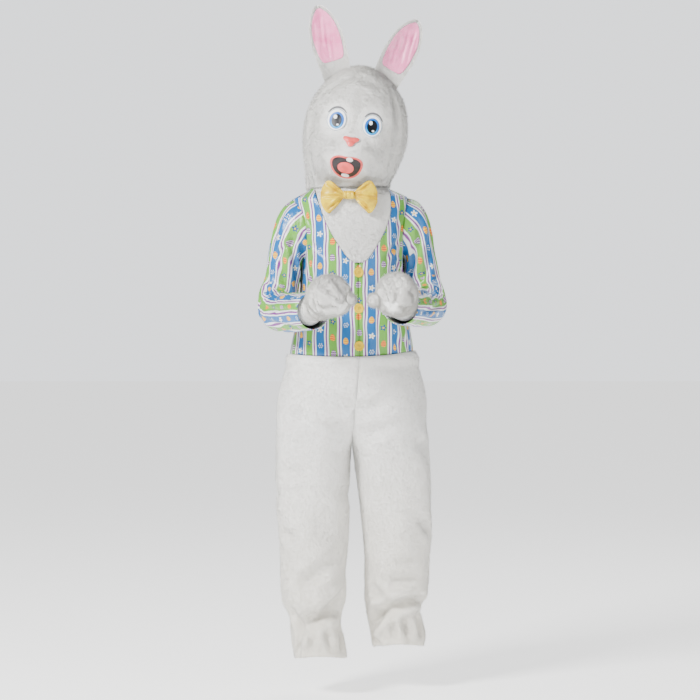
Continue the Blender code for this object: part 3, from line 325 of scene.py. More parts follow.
def ripples(points, seed, wavelength, count=14):
    """Faint random unevenness of cloth, from 1 to -1."""
    chance = np.random.default_rng(seed)
    directions = unit(chance.normal(size=(count, 3)))
    lengths = wavelength * chance.uniform(0.6, 1.6, count)
    phases = chance.uniform(0, 2 * math.pi, count)
    waves = np.sin(points @ (directions * (2 * math.pi / lengths)[:, None]).T + phases)
    return waves.sum(1) / math.sqrt(count / 2) / 2.2


# Materials

STRIPE_REPEAT = 0.058
MOTIF_STEP, MOTIF_SHIFT = 0.036, 0.047
WIDE_BAND, EDGE_SOFTNESS = 0.0092, 0.0005
WHITE_SATIN = linear(232, 236, 236)
GREEN_SATIN = linear(100, 164, 58)
PURPLE_SATIN = linear(122, 50, 134)
BLUE_SATIN = linear(0, 98, 162)
NAVY = linear(22, 60, 140)
ORANGE = linear(228, 76, 34)
YELLOW = linear(244, 196, 36)
# Dark grey for the satin's inner side: painted shade inside the garment and its cuffs.
PAINTED_INSIDE_SHADE = linear(74, 78, 88)


def woven(finish, place, depth):
    """Satin's bump: fine threads over soft lengthwise puckers. The thread's sheen runs across them."""
    threads = finish.noise(finish.stretched(place, (1.0, 1.0, 0.25)), 900.0, 2.0)
    puckers = finish.noise(finish.stretched(place, (1.0, 1.0, 0.38)), 42.0, 3.0)
    finish.bump(threads * 0.06 + puckers, depth)
    finish.shader.inputs["Anisotropic"].default_value = 0.5


def egg_motif(finish, base, round_gap, along_gap, index, body, bands):
    """A small painted egg with zigzag bands, point up."""
    across = round_gap / (along_gap * -0.14 + 0.0058)
    up = along_gap / 0.0076
    inside = hypot(across, up).below(1.0, 0.08)
    base = finish.paint(base, inside * index, body)
    zigzag = (round_gap / 0.0022).math("PINGPONG", 1.0) * 0.0012
    stripe = (along_gap + zigzag).wrapped(0.0024).size().below(0.0007, 0.0004)
    return finish.paint(base, inside * index * stripe, bands)


def flower_motif(finish, base, round_gap, along_gap, index, petals, centre):
    radius = hypot(round_gap, along_gap)
    lobes = (along_gap.math("ARCTAN2", round_gap) * 5.0).math("COSINE")
    inside = (radius / (lobes * 0.28 + 0.72)).below(0.0072, 0.0005)
    base = finish.paint(base, inside * index, petals)
    return finish.paint(base, radius.below(0.0019, 0.0005) * index, centre)


def dots_motif(finish, base, round_gap, along_gap, index, colour):
    """One dot and six round it."""
    radius = hypot(round_gap, along_gap)
    turn = along_gap.math("ARCTAN2", round_gap).wrapped(math.pi / 6)
    ring = hypot(radius - 0.0044, turn * 0.0044).below(0.0012, 0.0004)
    return finish.paint(base, ring.either(radius.below(0.0012, 0.0004)) * index, colour)


MOTIFS = {"egg": egg_motif, "flower": flower_motif, "dots": dots_motif}


def striped_satin():
    """The print: bands run along the cloth, with a motif every MOTIF_STEP in turn along each wide band."""
    finish = Finish("striped_satin", roughness=0.30, sheen=0.05, specular=0.60)
    around, along, inner = finish.place("cloth")
    offset = around.wrapped(STRIPE_REPEAT / 2)
    ground = GREEN_SATIN
    edges = ((0.0095, WHITE_SATIN), (0.0128, PURPLE_SATIN), (0.0162, WHITE_SATIN), (0.0195, BLUE_SATIN))
    for edge, colour in edges:
        ground = finish.paint(colour, offset.size().below(edge, EDGE_SOFTNESS), ground)
    band_kinds = (
        (0.0, (("egg", ORANGE, YELLOW), ("flower", NAVY, YELLOW), ("egg", PURPLE_SATIN, WHITE_SATIN))),
        (STRIPE_REPEAT / 2, (("flower", WHITE_SATIN, YELLOW), ("egg", YELLOW, ORANGE), ("dots", WHITE_SATIN))),
    )
    for centre, kinds in band_kinds:
        shifted = around + centre
        index = ((shifted / STRIPE_REPEAT) + 0.5).math("FLOOR")
        gap = shifted.wrapped(STRIPE_REPEAT / 2)
        inside = gap.size().below(WIDE_BAND, 0.0004)
        for number, (kind, *colours) in enumerate(kinds):
            rise = along - (index * MOTIF_SHIFT + (number * MOTIF_STEP + centre * 0.6))
            ground = MOTIFS[kind](finish, ground, gap, rise.wrapped(MOTIF_STEP * len(kinds) / 2), inside, *colours)
    # The inner side is painted dark grey, a painted shade inside the cloth.
    finish.colour(finish.paint(ground, inner * 0.82, PAINTED_INSIDE_SHADE))
    woven(finish, finish.object_place(), 0.0060)
    return finish.material


def plain_satin(name, colour, painted_shade_colour, roughness=0.34):
    finish = Finish(name, roughness=roughness, sheen=0.05, specular=0.40)
    place = finish.object_place()
    mottle = finish.noise(place, 45.0, 3.0)
    # Random patches of a darker copy of the colour: painted shade standing in for folds.
    finish.colour(finish.paint(colour, mottle.below(0.42, 0.3), painted_shade_colour))
    woven(finish, place, 0.0036)
    return finish.material


def plush_colour(finish):
    """White plush, a little warmer towards the hems, with soft darker patches at random: painted shade of pile that
    lies another way.
    """
    place = finish.object_place()
    height = finish.parts(place.socket)[2]
    warm = ((height + 0.55) * -2.0).math("ADD", 0.0, clamp=True)
    colour = finish.paint(linear(249, 248, 244), warm * 0.7, linear(243, 236, 219))
    # Darker patches at random: painted shade where the pile lies another way.
    patches = finish.noise(place, 38.0, 3.0)
    return finish.paint(colour, patches.below(0.40, 0.22) * 0.22, linear(226, 223, 216))


def plush_ground():
    finish = Finish("plush_ground", roughness=0.95, sheen=0.4, specular=0.1)
    place = finish.object_place()
    finish.colour(plush_colour(finish))
    pile = finish.noise(place, 420.0, 4.0, 0.65) + finish.noise(place, 110.0, 3.0) * 0.9
    finish.bump(pile, 0.0016)
    return finish.material


def plush_pile():
    """The pile's strands: tint is 0 at the root and 1 at the tip, and varies from strand to strand."""
    finish = Finish("plush_pile", roughness=0.9, sheen=0.5, specular=0.1)
    tip, strand, _ = finish.place("tint")
    colour = plush_colour(finish)
    # Darker towards each strand's root: painted shade deep in the pile.
    colour = finish.paint(colour, (tip * -1.0 + 1.0) * 0.26, linear(214, 210, 201))
    finish.colour(finish.paint(colour, strand.below(0.30, 0.3) * 0.36, linear(212, 207, 197)))
    return finish.material


def eye_print():
    """A simple cartoon eye: white, blue iris, dark pupil and two highlights. sight is millimetres from its middle."""
    finish = Finish("eye_print", roughness=0.42, specular=0.3)
    right, up, _ = finish.place("sight")

    def disc(x, y, wide, tall, soft=0.05):
        return hypot((right - x) / wide, (up - y) / tall).below(1.0, soft)

    # The grey-blue round the white, at the patch's edge, is painted shade at the eye's rim.
    colour = finish.paint(linear(150, 168, 184), disc(0.0, 0.0, 20.6, 24.0), linear(252, 252, 250))
    colour = finish.paint(colour, disc(0.4, -1.6, 16.8, 19.6), linear(0, 98, 190))
    colour = finish.paint(colour, disc(0.4, -10.0, 12.0, 10.0, 0.5), linear(30, 160, 222))
    colour = finish.paint(colour, disc(0.4, -1.8, 11.4, 15.0), linear(8, 12, 22))
    colour = finish.paint(colour, disc(-3.8, 6.0, 4.0, 4.6), linear(252, 252, 250))
    colour = finish.paint(colour, disc(3.8, -11.2, 2.8, 2.2), linear(246, 250, 252))
    finish.colour(colour)
    return finish.material


def vinyl(name, colour, roughness=0.4, coat=0.1):
    finish = Finish(name, roughness=roughness, coat=coat)
    place = finish.object_place()
    shade = finish.noise(place, 90.0, 2.0)
    dark = tuple(part * 0.82 for part in colour)
    finish.colour(finish.paint(colour, shade.below(0.45, 0.3), dark))
    finish.bump(finish.noise(place, 260.0, 2.0), 0.0003)
    return finish.material


MATERIALS = {
    "striped_satin": striped_satin(),
    "white_plush": plush_ground(),
    "pile": plush_pile(),
    "pink_satin": plain_satin("pink_satin", linear(242, 134, 180), linear(222, 100, 154)),
    "yellow_satin": plain_satin("yellow_satin", linear(226, 192, 0), linear(178, 134, 0), 0.32),
    "yellow_plastic": vinyl("yellow_plastic", linear(222, 184, 0), 0.34, 0.05),
    "eye_vinyl": eye_print(),
    "salmon_vinyl": vinyl("salmon_vinyl", linear(240, 88, 84)),
    "black_vinyl": vinyl("black_vinyl", linear(34, 26, 28), 0.45),
    "white_vinyl": vinyl("white_vinyl", linear(238, 236, 230)),
    "brow_felt": vinyl("brow_felt", linear(112, 112, 116), 0.8, 0.0),
    "yellow_thread": vinyl("yellow_thread", linear(214, 176, 40), 0.7, 0.0),
}


# Dressed pieces

# Flat regions: origin, right and up
PLANES = {
    "bow": ((-0.0067, -0.1044, 1.1375), (1.0, 0.0, 0.0), (0.0, 0.0, 1.0)),
    "ear_right": ((-0.0330, -0.004, 1.4230), (0.953, -0.100, 0.284), (-0.279, 0.060, 0.958)),
    "ear_left": ((0.0725, -0.004, 1.4060), (0.850, 0.212, -0.483), (0.482, 0.061, 0.874)),
}


def places(region, points):
    """Distance across or round, distance up or along, and outward direction, for any region."""
    if region in AXES:
        return cloth_places(region, points)
    origin, right, up = (np.array(part) for part in PLANES[region])
    away = points - (origin - (0.0, 0.0, SHOULDER_HEIGHT))
    return away @ right, away @ up, np.tile(unit(np.cross(right, up)), (len(points), 1))


def points_of(mesh):
    flat = np.empty(len(mesh.vertices) * 3)
    mesh.vertices.foreach_get("co", flat)
    return flat.reshape(-1, 3)


def normals_of(mesh):
    flat = np.empty(len(mesh.vertices) * 3, np.float32)
    mesh.vertex_normals.foreach_get("vector", flat)
    return flat.reshape(-1, 3).astype(float)


def put_points(mesh, points):
    mesh.vertices.foreach_set("co", points.ravel())
    mesh.update()


def put_vectors(mesh, name, vectors):
    mesh.attributes.new(name, "FLOAT_VECTOR", "POINT").data.foreach_set("vector", vectors.astype(np.float32).ravel())


SUBDIVISIONS = 2
FLAT_JOIN, SHAPE_JOIN, SEAM_ANGLE = math.radians(40), math.radians(60), math.radians(58)


def fine_copy(name, hold):
    """A smooth, fine copy of a frame node. hold, from 0 to 1, keeps its sharp edges, such as seams, in place."""
    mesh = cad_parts[name].data.copy()
    work = bmesh.new()
    work.from_mesh(mesh)
    bmesh.ops.remove_doubles(work, verts=work.verts, dist=1e-5)
    bmesh.ops.join_triangles(work, faces=work.faces, angle_face_threshold=FLAT_JOIN,
                             angle_shape_threshold=SHAPE_JOIN)
    layer = work.edges.layers.float.get("crease_edge") or work.edges.layers.float.new("crease_edge")
    for edge in work.edges:
        if edge.calc_face_angle(0.0) > SEAM_ANGLE:
            edge[layer] = hold
    work.to_mesh(mesh)
    work.free()
    obj = bpy.data.objects.new("cloth_" + name, mesh)
    bpy.context.scene.collection.objects.link(obj)
    smoother = obj.modifiers.new("fine", "SUBSURF")
    smoother.levels = smoother.render_levels = SUBDIVISIONS
    smoother.use_limit_surface = False
    bpy.context.view_layer.update()
    fine = bpy.data.meshes.new_from_object(obj.evaluated_get(bpy.context.evaluated_depsgraph_get()))
    obj.modifiers.clear()
    obj.data = fine
    return obj


def paint_with(obj, slot):
    obj.data.materials.clear()
    obj.data.materials.append(MATERIALS[slot])
    obj.data.polygons.foreach_set("material_index", [0] * len(obj.data.polygons))


SHARP_ANGLE = math.radians(50)


def smooth_shade(mesh):
    mesh.polygons.foreach_set("use_smooth", [True] * len(mesh.polygons))
    mesh.set_sharp_from_angle(angle=SHARP_ANGLE)
    mesh.update()


WAIST_DIP, WAIST_ROLL = (0.0022, 0.747, 0.008), (-0.0050, 0.770, 0.011)


def waist_roll(height):
    """The soft thick roll along the trousers' top edge, and the dip under it. Depths are into the body."""
    return sum(depth * np.exp(-((height - level) / spread) ** 2) for depth, level, spread in (WAIST_DIP, WAIST_ROLL))


# How much deeper than in its table a crease is, and how much wider on plush
DEEPER = {"torso": 1.8, "sleeve": 2.1, "leg": 3.8, "head": 1.3, "mitt": 1.8, "bow": 1.4, "ear": 1.0}
WIDER = {"white_plush": 1.7}
CLOTH_SEED, PRINT_SEED = 7, 31
PRINT_DRAWN_ROUND, PRINT_DRAWN_ALONG, PRINT_WANDER = 0.6, 0.5, 0.0011
CROWN_START, CROWN_END = 0.010, 0.045
INNER_BELOW = -0.15


def dress(piece, creases, hold):
    """A piece's cloth, sunk into the body by its inset, creases and unevenness, with its place on the print."""
    obj = fine_copy(piece.name, hold)
    points = points_of(obj.data)
    around, along, outward = places(piece.region, points)
    girth, kind = GIRTHS.get(piece.region, NO_GIRTH), piece.region.split("_")[0]
    folded = crease_depth(creases, around, along, girth, WIDER.get(piece.slot, 1.0)) * DEEPER[kind]
    sunk = folded + piece.inset + piece.rough * ripples(points, CLOTH_SEED, piece.wavelength)
    if kind == "leg":
        sunk += waist_roll(points[:, 2] + SHOULDER_HEIGHT)
    if kind == "head":
        sunk *= smooth(CROWN_START, CROWN_END, AXES["head"].read(points)[2])
    inner = (normals_of(obj.data) * outward).sum(1) < INNER_BELOW
    put_points(obj.data, points - outward * sunk[:, None])
    print_around = around + PRINT_DRAWN_ROUND * folded + PRINT_WANDER * ripples(points, PRINT_SEED, 0.045)
    print_along = along + PRINT_DRAWN_ALONG * folded
    put_vectors(obj.data, "cloth", np.stack([print_around, print_along, inner.astype(float)], 1))
    smooth_shade(obj.data)
    paint_with(obj, piece.slot)
    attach(obj, "root")
    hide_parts(piece.name)
    return obj


CREASES = {region: named(CREASE, np.array(rows) / 1000) for region, rows in {
    "torso": (
        (-112, 1000, -138, 930, 3.4, 6, 2), (-95, 985, -130, 900, 2.4, 5.5, 2), (112, 1010, 132, 935, 3.4, 6, -2),
        (98, 985, 126, 905, 2.4, 5.5, -2), (-83, 880, -75, 785, 2.2, 5, 1), (-31, 868, -25, 782, 1.9, 4.5, 0),
        (-55, 861, -49, 782, 1.5, 4.5, -1), (-154, 840, -161, 784, 2.4, 5, 0), (-112, 852, -120, 784, 1.9, 4.8, 1),
        (19, 862, 21, 782, 1.7, 4.5, 0), (49, 868, 47, 785, 1.7, 4.5, 1), (86, 851, 95, 789, 2.2, 5, 0),
        (116, 840, 129, 791, 2.4, 5, 0), (-130, 1116, -105, 1060, 1.7, 6, 0), (119, 1127, 94, 1065, 1.7, 6, 0),
        (-119, 1038, -63, 987, 1.6, 5.5, 2), (107, 1044, 59, 988, 1.6, 5.5, -2), (-190, 985, -205, 880, 2.6, 6.5, 3),
        (188, 990, 200, 872, 2.6, 6.5, -3), (-255, 1070, -215, 985, 2.1, 6.5, 3), (262, 1075, 218, 980, 2.1, 6.5, -3),
        (-290, 890, -282, 788, 2.2, 5.5, 1), (-335, 872, -340, 787, 1.8, 5, -1), (300, 884, 307, 786, 2.2, 5.5, 1),
        (345, 860, 338, 788, 1.8, 5, 0), (-225, 862, -232, 788, 2.1, 5, 1), (238, 870, 230, 789, 2.1, 5, -1),
        (-340, 985, -270, 945, 1.6, 6.5, 4), (330, 990, 268, 938, 1.6, 6.5, -4),
    ),
    "sleeve_right": (
        (2, 47, -42, 169, 4.2, 7, 2), (14, 88, -14, 190, 2.6, 6.5, -2), (-30, 30, 30, 112, 2.4, 6.5, 2),
        (52, 106, 30, 210, 2, 6.5, 0), (-22, 55, -60, 140, 3, 5.5, -2), (47, 25, 41, 75, 1.8, 7.5, 2),
        (72, 50, 66, 140, 1.8, 7.5, 0), (46, 226, -45, 262, 4.6, 5.5, 1), (44, 262, 4, 234, 4, 5.5, 1),
        (46, 296, 2, 258, 4.2, 6, 2), (48, 330, 2, 302, 3.8, 5.5, -1), (46, 362, 6, 346, 3.6, 5.5, 2),
        (45, 392, 12, 380, 2.8, 5, 1), (-10, 330, -50, 300, 3.4, 6, 1), (-8, 372, -52, 352, 2.6, 6, 1),
        (55, 216, 84, 238, 2.6, 5, 1), (87, 245, 116, 375, 2, 6, 2), (61, 272, 67, 400, 1.6, 6, -1),
        (58, 238, 66, 310, 2.2, 5.5, 1), (40, 196, 12, 262, 2.6, 5.5, 2), (122, 180, 95, 245, 2.4, 6, -2),
        (-122, 60, -100, 170, 2.8, 7, 3), (118, 70, 128, 165, 2, 7, -2), (-90, 200, -60, 290, 3.2, 6.5, 2),
        (-130, 235, -96, 340, 2, 6.5, 2), (138, 260, 126, 360, 2, 6, 1),
    ),
    "sleeve_left": (
        (-23, 34, 34, 155, 4.6, 7, -2), (-35, 64, 10, 196, 2.6, 6.5, 2), (10, 43, 20, 120, 3, 5.5, 2),
        (-42, 118, -29, 232, 2, 6.5, 0), (-60, 26, -48, 80, 1.8, 7.5, -2), (-75, 60, -66, 150, 1.8, 7.5, 0),
        (-48, 226, 42, 262, 4.6, 5.5, -1), (-58, 396, -30, 365, 3.4, 5.5, 1), (-58, 362, -12, 330, 4, 5.5, 1),
        (-54, 322, -8, 284, 4.4, 6, -1), (-50, 282, -4, 246, 4.2, 5.5, 1), (8, 318, 48, 290, 3.4, 6, -1),
        (6, 366, 50, 342, 2.6, 6, -1), (-85, 400, -58, 273, 2.2, 5.5, -2), (-113, 402, -85, 293, 2, 5.5, -1),
        (-45, 236, -80, 258, 2.6, 5, -1), (-15, 310, -44, 200, 2.2, 5.5, -2), (-124, 409, -118, 309, 1.8, 5.5, 0),
        (-122, 176, -94, 240, 2.4, 6, 2), (120, 64, 98, 175, 2.8, 7, -3), (-116, 66, -130, 160, 2, 7, 2),
        (88, 204, 62, 286, 3.2, 6.5, -2), (128, 240, 94, 335, 2, 6.5, -2),
    ),
    "leg_right": (
        (88, 142, -40, 106, 6.2, 10, -3), (16, 207, -40, 201, 4, 10, 2), (-84, 314, -42, 298, 3.4, 7.5, 1),
        (-50, 78, -73, 37, 2.8, 6, 0), (-9, 90, -18, 47, 2.6, 6, 0), (99, 92, 81, 42, 3, 6, 0),
        (-76, 138, -48, 92, 4.2, 8, 2), (-28, 550, -35, 342, 3.2, 17, 4), (14, 558, 24, 285, 2.2, 15, -4),
        (48, 603, 4, 627, 2.6, 10, 2), (48, 556, 12, 586, 2.2, 9, 2), (59, 250, -10, 223, 3, 10, 2),
        (-60, 566, -26, 593, 1.9, 10, 1), (103, 176, 40, 148, 3.6, 8, 2), (-74, 453, -20, 431, 1.8, 10, 2),
        (-24, 182, -2, 150, 2.6, 8, 0), (30, 98, 38, 50, 2.2, 6, 1), (-190, 402, 205, 395, 1.2, 10, 2),
        (-236, 425, -160, 404, 3.6, 10, 3), (150, 430, 232, 408, 3.4, 10, -3), (-240, 382, -170, 372, 2.6, 9, 2),
        (-200, 150, -120, 118, 4.4, 9, 3), (150, 168, 236, 120, 5, 9.5, 3), (-232, 226, -150, 206, 3.4, 10, -2),
        (170, 85, 158, 44, 2.6, 6, 0), (-215, 80, -205, 40, 2.6, 6, 0), (-150, 88, -162, 46, 2.4, 6, 1),
        (168, 560, 225, 604, 3.4, 12, -3), (-180, 640, -140, 540, 2.4, 14, 3),
    ),
    "leg_left": (
        (-62, 102, 58, 154, 6.2, 9, 3), (-23, 190, 53, 205, 4, 10, 2), (48, 150, 108, 138, 4.6, 7, 1),
        (50, 341, 108, 297, 3, 7.5, 0), (-42, 118, -102, 65, 3.4, 8, 0), (-100, 70, -61, 38, 3, 6, 0),
        (29, 108, 40, 51, 3.4, 7, 0), (89, 103, 82, 47, 3, 6, 0), (27, 540, 24, 342, 3, 17, -4),
        (-9, 525, -48, 281, 2.2, 15, 4), (-32, 589, 14, 611, 2.6, 10, -2), (-34, 536, 2, 561, 2.2, 9, -2),
        (-64, 167, -12, 142, 3.6, 8, -2), (49, 246, -8, 232, 2.7, 9, -2), (51, 508, 97, 471, 1.8, 10, 0),
        (-12, 102, 1, 57, 2.6, 7, 0), (236, 420, 158, 400, 3.6, 10, -3), (-148, 432, -230, 405, 3.4, 10, 3),
        (238, 378, 168, 370, 2.6, 9, -2), (205, 148, 128, 112, 4.4, 9, -3), (-146, 165, -234, 116, 5, 9.5, -3),
        (230, 222, 152, 202, 3.4, 10, 2), (-172, 84, -160, 44, 2.6, 6, 0), (212, 78, 202, 40, 2.6, 6, 0),
        (150, 86, 160, 44, 2.4, 6, -1), (-170, 556, -226, 600, 3.4, 12, 3), (184, 636, 142, 536, 2.4, 14, -3),
    ),
    "head": (
        (-113, 207, -40, 250, 3.4, 6, 4), (-40, 250, 58, 245, 3.4, 6, 3), (-100, 233, 6, 272, 2.6, 6, 3),
        (103, 245, 101, 160, 4.4, 5.5, -2), (-106, 77, -108, 20, 3.4, 6, 2), (26, 67, 77, 43, 3.6, 6, -3),
        (-47, 84, -28, 63, 2.8, 6, -2), (-11, 82, -39, 66, 2, 6, -3), (104, 164, 100, 106, 3, 6, 0),
        (106, 103, 101, 50, 3, 6, 0), (-34, 107, -51, 91, 1.8, 6.5, 0), (26, 109, 58, 102, 1.8, 6.5, 0),
        (-110, 165, -116, 105, 2.4, 7, 2), (-186, 200, -160, 110, 2.8, 9, 3), (190, 205, 158, 112, 2.8, 9, -3),
        (-300, 215, -250, 130, 2.6, 10, 4), (310, 210, 262, 120, 2.6, 10, -4), (374, 260, 376, 20, 3, 6, 2),
        *((turn, 40 + 10 * (number % 3), turn + 4 * (number % 2), 4, 2.6, 4.5, 0) for number, turn in enumerate(
            (-330, -290, -246, -208, -163, -126, -90, -61, 50, 83, 118, 160, 196, 241, 279, 322))),
    ),
    "mitt_right": (
        (62, 167, 112, 186, 4.6, 5, 1), (1, 152, -45, 175, 4.2, 5, 1), (69, 125, 104, 118, 3.4, 5, 0),
        (60, 83, 91, 87, 3, 5, 0), (30, 132, 46, 168, 2.8, 6, 0), (10, 135, -18, 150, 2.4, 6, 1),
        (88, 140, 92, 184, 3.6, 5, 0), (-22, 161, -57, 170, 3, 4.5, 0), (110, 90, 118, 160, 3, 6, 1),
        (-100, 85, -80, 150, 2.8, 6, 1), (50, 70, 120, 62, 3.4, 4.5, 1), (-50, 72, -120, 64, 3.4, 4.5, -1),
    ),
    "mitt_left": (
        (50, 163, 100, 183, 4.6, 5, -1), (5, 142, -51, 168, 3, 6, 0), (30, 150, 46, 190, 3.4, 5, 0),
        (-46, 147, -80, 132, 3.2, 5, 0), (-79, 182, -101, 150, 3.2, 4.5, 0), (80, 130, 110, 150, 3.4, 5, 1),
        (-30, 168, -70, 190, 3.2, 5, 0), (-110, 85, -118, 140, 3, 6, 1), (100, 80, 84, 125, 2.8, 6, 1),
        (-50, 70, -120, 62, 3.4, 4.5, 1), (50, 72, 120, 64, 3.4, 4.5, -1),
    ),
    "bow": (
        (-14, 4, -48, 26, 3.6, 3, 1), (-14, -2, -58, -4, 3, 2.8, 0), (-14, -6, -45, -32, 3.6, 3, -1),
        (-14, 7, -34, 30, 2.2, 2.4, 0), (-14, -9, -36, -36, 2.4, 2.4, 0), (14, 4, 50, 26, 3.6, 3, -1),
        (14, -2, 62, -6, 3, 2.8, 0), (14, -6, 47, -34, 3.6, 3, 1), (14, 7, 34, 30, 2.2, 2.4, 0),
        (14, -9, 36, -38, 2.4, 2.4, 0), (-4, 12, -5, -12, 1, 1.6, 0), (5, 12, 4, -12, 1, 1.6, 0),
    ),
    "ear_right": (
        (-33, 58, -17, 135, 2.2, 2.6, 1), (-22, 48, -2, 136, 2.6, 2.8, -1), (-7, 43, 7, 118, 2.6, 2.6, 1),
        (3, 36, 12, 92, 2, 2.4, 0), (-12, 46, -10, 90, 1.6, 2.2, 0),
    ),
    "ear_left": (
        (-3, 44, -16, 105, 2.2, 2.6, 1), (14, 47, -5, 128, 2.6, 2.8, -1), (29, 52, 8, 136, 2.6, 2.6, 1),
        (33, 66, 20, 127, 2, 2.4, 0), (6, 44, 4, 85, 1.6, 2.2, 0),
    ),
}.items()}

CREASES["torso_back"] = CREASES["torso"]

PIECE = "name region slot inset rough wavelength flat area held"
CLOTHS = named(PIECE, both_sides((
    ("top_front_{}", "torso", "striped_satin", -0.0018, 0.0009, 0.060, (0.185, 0.385), 0.0542, "hung"),
    ("top_back_{}", "torso_back", "striped_satin", -0.0018, 0.0009, 0.060, (0.190, 0.390), 0.0652, "hung"),
    ("sleeve_right", "sleeve_right", "striped_satin", -0.0018, 0.0010, 0.050, (0.290, 0.420), 0.1140, "hung"),
    ("sleeve_left", "sleeve_left", "striped_satin", -0.0018, 0.0010, 0.050, (0.290, 0.440), 0.1200, "hung"),
    ("bib", "torso", "white_plush", 0.0015, 0.0006, 0.060, (0.180, 0.250), 0.0270, "hung"),
    ("leg_front_{}", "leg_{}", "white_plush", 0.0005, 0.0024, 0.090, (0.270, 0.740), 0.1670, "hung"),
    ("leg_back_{}", "leg_{}", "white_plush", 0.0005, 0.0024, 0.090, (0.270, 0.740), 0.1700, "hung"),
    ("face", "head", "white_plush", 0.0018, 0.0010, 0.060, (0.270, 0.330), 0.0766, "stretched"),
    ("hood_right", "head", "white_plush", 0.0018, 0.0012, 0.060, (0.280, 0.310), 0.0709, "stretched"),
    ("hood_left", "head", "white_plush", 0.0018, 0.0012, 0.060, (0.280, 0.310), 0.0656, "stretched"),
    ("ear_right", "ear_right", "white_plush", 0.0, 0.0005, 0.050, (0.085, 0.190), 0.0128, "stretched"),
    ("ear_left", "ear_left", "white_plush", 0.0, 0.0005, 0.050, (0.085, 0.190), 0.0118, "stretched"),
    ("ear_lining_right", "ear_right", "pink_satin", 0.0, 0.0003, 0.030, (0.060, 0.160), 0.0069, "stretched"),
    ("ear_lining_left", "ear_left", "pink_satin", 0.0, 0.0003, 0.030, (0.060, 0.160), 0.0070, "stretched"),
    ("bow_{}", "bow", "yellow_satin", 0.0, 0.0004, 0.030, (0.070, 0.100), 0.0070, "gathered"),
    ("bow_knot", "bow", "yellow_satin", 0.0, 0.0002, 0.020, (0.028, 0.060), 0.0014, "folded"),
    ("mitt_{}", "mitt_{}", "white_plush", 0.0, 0.0010, 0.050, (0.250, 0.170), 0.0348, "gathered"),
    ("thumb_right", "mitt_right", "white_plush", 0.0, 0.0, 0.050, (0.032, 0.045), 0.0010, "gathered"),
    ("thumb_left", "mitt_left", "white_plush", 0.0, 0.0, 0.050, (0.040, 0.055), 0.0016, "gathered"),
)))

# Thumbs have no creases and are tucked into their mitts
TUCK = {"thumb_right": (-0.0055, 0.0, 0.0), "thumb_left": (0.0055, 0.0, 0.0)}
cloths = {}
for piece in CLOTHS:
    if piece.name in TUCK:
        cloth = dress(piece, (), 0.0)
        put_points(cloth.data, points_of(cloth.data) + TUCK[piece.name])
    else:
        cloth = dress(piece, CREASES[piece.region], 1.0)
    cloths[piece.name] = cloth


# The face's applied pieces

def tree_of(mesh):
    """The mesh as a tree for finding where lines meet it."""
    return BVHTree.FromPolygons([vertex.co.copy() for vertex in mesh.vertices],
                                [tuple(polygon.vertices) for polygon in mesh.polygons])


HEAD_ROLL = math.radians(9.0)
FACE_RIGHT = Vector((math.cos(HEAD_ROLL), 0.0, -math.sin(HEAD_ROLL)))
FACE_UP = Vector((math.sin(HEAD_ROLL), 0.0, math.cos(HEAD_ROLL)))
BACKWARD = Vector((0.0, 1.0, 0.0))
REACH = 0.25
FACE_PIECE_HOLD = 0.35
plain_face = tree_of(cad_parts["face"].data)
dressed_face = tree_of(cloths["face"].data)


def face_depth(tree, x, z):
    """Where the face's front lies, or None beside it."""
    hit = tree.ray_cast(Vector((x, -REACH, z)), BACKWARD)
    return None if hit[0] is None else hit[0].y


def seat(name, slot, raise_by, grown):
    """A face piece, moved as the face moved when it was dressed, raised towards the front and grown across."""
    obj = fine_copy(name, FACE_PIECE_HOLD)
    points = points_of(obj.data)
    centre = (points.max(0) + points.min(0)) / 2
    points = centre + (points - centre) * (grown, 1.0, grown)
    shifts = []
    for x, y, z in points:
        before, after = face_depth(plain_face, x, z), face_depth(dressed_face, x, z)
        shifts.append(0.0 if before is None or after is None else after - before)
    points[:, 1] += np.array(shifts) - raise_by
    put_points(obj.data, points)
    away = points - (points.max(0) + points.min(0)) / 2
    put_vectors(obj.data, "sight", 1000 * np.stack([away @ np.array(FACE_RIGHT), away @ np.array(FACE_UP),
                                                    away[:, 1]], 1))
    smooth_shade(obj.data)
    paint_with(obj, slot)
    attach(obj, "root")
    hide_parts(name)
    return obj


APPLIED = (("eye_right", "eye_vinyl", 0.0014, 1.15), ("eye_left", "eye_vinyl", 0.0014, 1.15),
           ("nose", "salmon_vinyl", 0.0015, 1.06), ("mouth", "salmon_vinyl", 0.0, 1.07),
           ("mouth_inner", "black_vinyl", 0.0, 1.0), ("tongue", "salmon_vinyl", 0.0, 1.08),
           ("teeth_upper", "white_vinyl", 0.0, 1.0), ("teeth_lower", "white_vinyl", 0.0, 1.0))
applied = {name: seat(name, slot, raise_by, grown) for name, slot, raise_by, grown in APPLIED}


def linked(name, mesh, material):
    """A new piece of the scene, painted, and riding on the costume."""
    obj = bpy.data.objects.new(name, mesh)
    bpy.context.scene.collection.objects.link(obj)
    obj.data.materials.append(MATERIALS[material])
    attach(obj, "root")
    return obj


def finished(name, points, faces, material):
    mesh = bpy.data.meshes.new(name)
    mesh.from_pydata(points, [], faces)
    smooth_shade(mesh)
    return linked(name, mesh, material)


def grid_faces(rows, columns):
    return [(row * columns + column, row * columns + column + 1, (row + 1) * columns + column + 1,
             (row + 1) * columns + column) for row in range(rows - 1) for column in range(columns - 1)]


BROW_STATIONS, BROW_COLUMNS, BROW_WIDTH, BROW_CROWN = 29, 7, 0.0044, 0.0016
BROW_WIDE, BROW_TALL = 0.0245, 0.0295


